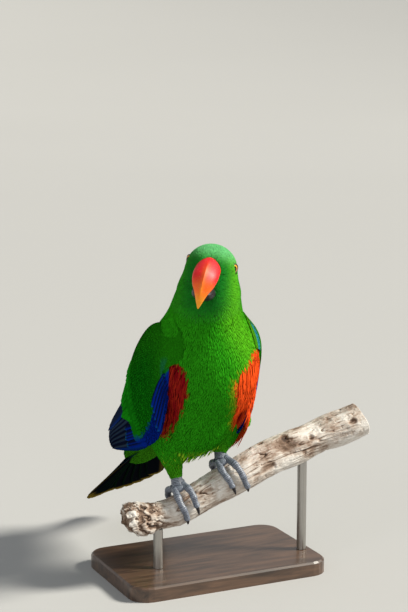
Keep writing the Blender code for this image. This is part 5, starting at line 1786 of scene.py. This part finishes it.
def base_material():
    """The stand's dark varnished wood, with long grain."""
    paint = Paint("stand_walnut", Roughness=0.38, Coat_Weight=0.4, Coat_Roughness=0.15)
    grain = paint.noise(190.0, 6.0, 0.6, paint.place((0.12, 1.0, 1.0)), 0.6)
    paint.bump(grain, 0.15, 0.0003)
    return paint.finish(paint.ramp(grain, ((0.30, (0.028, 0.016, 0.010)), (0.72, (0.120, 0.065, 0.038)))))


def metal_material():
    """The rods' brushed metal."""
    paint = Paint("stand_steel", Metallic=1.0, Roughness=0.32)
    brush = paint.noise(2600.0, 3.0, place=paint.place((1.0, 1.0, 0.02)))
    paint.bump(brush, 0.12, 0.0001)
    return paint.finish(paint.mixed(brush, (0.30, 0.29, 0.27, 1.0), (0.50, 0.48, 0.45, 1.0)))


# The studio

def view_axes():
    """The camera's right, up and forward directions, and its forward direction without the slope."""
    a = math.radians(VIEW_AZIMUTH)
    e = math.radians(VIEW_ELEVATION)
    right = Vector((math.cos(a), math.sin(a), 0.0))
    level = Vector((-math.sin(a), math.cos(a), 0.0))
    forward = level * math.cos(e) - Vector((0.0, 0.0, 1.0)) * math.sin(e)
    up = level * math.sin(e) + Vector((0.0, 0.0, 1.0)) * math.cos(e)
    return right, up, forward, level


def make_camera():
    right, up, forward, _ = view_axes()
    camera = add_object("camera", bpy.data.cameras.new("camera"))
    camera.data.sensor_width = SENSOR
    camera.data.lens = SENSOR * FOCAL_PIXELS / IMAGE_HEIGHT
    scale = VIEW_DISTANCE / FOCAL_PIXELS
    place = Vector(FEET * MM) - forward * VIEW_DISTANCE
    place = place - right * ((FEET_PIXEL[0] - IMAGE_WIDTH / 2) * scale)
    place = place - up * ((IMAGE_HEIGHT / 2 - FEET_PIXEL[1]) * scale)
    camera.matrix_world = Matrix.Translation(place) @ Matrix((right, up, -forward)).transposed().to_4x4()
    camera.data.clip_start = 0.05
    bpy.context.scene.camera = camera


def make_studio():
    """A pale floor that sweeps up far round the model, a soft sun from the right and two dim lamps."""
    right, _, _, level = view_axes()
    profile = [(0.0, 0.0), (1.0, 0.0), (3.0, 0.0), (FLOOR_FLAT, 0.0)]
    for k in range(1, BEND_STEPS + 1):
        q = math.pi / 3 * k / BEND_STEPS
        profile.append((FLOOR_FLAT + FLOOR_BEND * math.sin(q), FLOOR_BEND - FLOOR_BEND * math.cos(q)))
    sides = FLOOR_SIDES
    points = [(0.0, 0.0, 0.0)]
    for reach, height in profile[1:]:
        for k in range(sides):
            q = 2 * math.pi * k / sides
            points.append((reach * math.cos(q), reach * math.sin(q), height))
    faces = [(0, 1 + k, 1 + (k + 1) % sides) for k in range(sides)]
    for row in range(len(profile) - 2):
        for k in range(sides):
            a = 1 + row * sides + k
            b = 1 + row * sides + (k + 1) % sides
            faces.append((a, a + sides, b + sides, b))
    mesh = bpy.data.meshes.new("floor")
    mesh.from_pydata(points, [], faces)
    mesh.shade_smooth()
    floor = add_object("floor", mesh)
    paint = Paint("floor_pale", Roughness=0.9)
    mottle = paint.node("ShaderNodeTexNoise", Scale=8.0, Detail=2.0).outputs["Fac"]
    colour = paint.mixed(mottle, (0.37, 0.37, 0.365, 1.0), (0.39, 0.39, 0.385, 1.0))
    mesh.materials.append(paint.finish(colour))
    sun = add_object("key", bpy.data.lights.new("key", "SUN"))
    sun.data.energy = SUN_POWER
    sun.data.angle = math.radians(SUN_WIDTH)
    sun.data.color = SUN_COLOUR
    toward = right * -1.45 + level * 0.02 + Vector((0.0, 0.0, -1.15))
    sun.matrix_world = toward.to_track_quat("-Z", "Y").to_matrix().to_4x4()
    add_lamp("fill", right * -1.0 - level * 1.1 + Vector((0, 0, 0.8)), 0.6, 3.0, (0.92, 0.97, 1.0))
    add_lamp("front", right * 0.2 - level * 1.5 + Vector((0, 0, 0.5)), 0.7, 3.0, (1.0, 1.0, 1.0))
    world = bpy.data.worlds.new("studio")
    bpy.context.scene.world = world
    world.use_nodes = True
    background = world.node_tree.nodes["Background"]
    background.inputs[0].default_value = SKY_COLOUR
    background.inputs[1].default_value = SKY_POWER
    bpy.context.scene.view_settings.view_transform = "Standard"


def add_lamp(name, place, size, power, colour):
    lamp = add_object(name, bpy.data.lights.new(name, "AREA"))
    lamp.data.shape = "DISK"
    lamp.data.size = size
    lamp.data.energy = power
    lamp.data.color = colour
    aim = Vector(LAMP_AIM) - place
    lamp.matrix_world = Matrix.Translation(place) @ aim.to_track_quat("-Z", "Y").to_matrix().to_4x4()


def main():
    make_camera()
    make_studio()
    down = plumage_material("plumage_soft", 0.60, 0.0, (0.50, 1.0, 0.20, 1.0), 0.6, 1.3, 0.25, 0.2)
    crown = plumage_material("plumage_crown", 0.55, 0.04, (0.70, 1.0, 0.75, 1.0), 0.6, 1.3, 0.20, 0.2)
    wing = plumage_material("plumage_smooth", 0.50, 0.0, (0.50, 1.0, 0.50, 1.0), 22.0, 0.0, 0.30, 0.6)
    make_skin(skin_material())
    make_coat(down, crown)
    make_thigh_coats(down)
    make_vent_tufts(down)
    make_edge_tufts(down)
    make_flank_tufts(down)
    make_wing("wing_left", 1, wing)
    make_wing("wing_right", -1, wing)
    make_tail(wing)
    # The bill's pale flakes are partly a painted highlight.
    make_bill(horn_material("bill_horn", None, PALE_FLAKES_AND_HIGHLIGHT, 0.50, 900.0),
              horn_material("bill_dark", BILL_BLACK, DARK_FLAKES, 0.38, 900.0))
    lid_skin = scaly_material("lid_skin", (0.004, 0.005, 0.005, 1.0), (0.018, 0.020, 0.020, 1.0), 1800.0, 0.6)
    make_eyes(eye_material(), lid_skin)
    foot_skin = scaly_material("foot_skin", (0.028, 0.034, 0.052, 1.0), (0.24, 0.27, 0.33, 1.0), 900.0, 0.42,
                               ringed=True)
    make_feet(foot_skin, horn_material("claw_horn", CLAW_BLACK, DARK_FLAKES, 0.35, 1200.0))
    make_perch(driftwood_material())
    wood = base_material()
    steel = metal_material()
    for name, material in (("stand_base", wood), ("stand_rod_1", steel), ("stand_rod_2", steel)):
        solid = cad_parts[name]
        solid.data.materials.clear()
        solid.data.materials.append(material)


main()
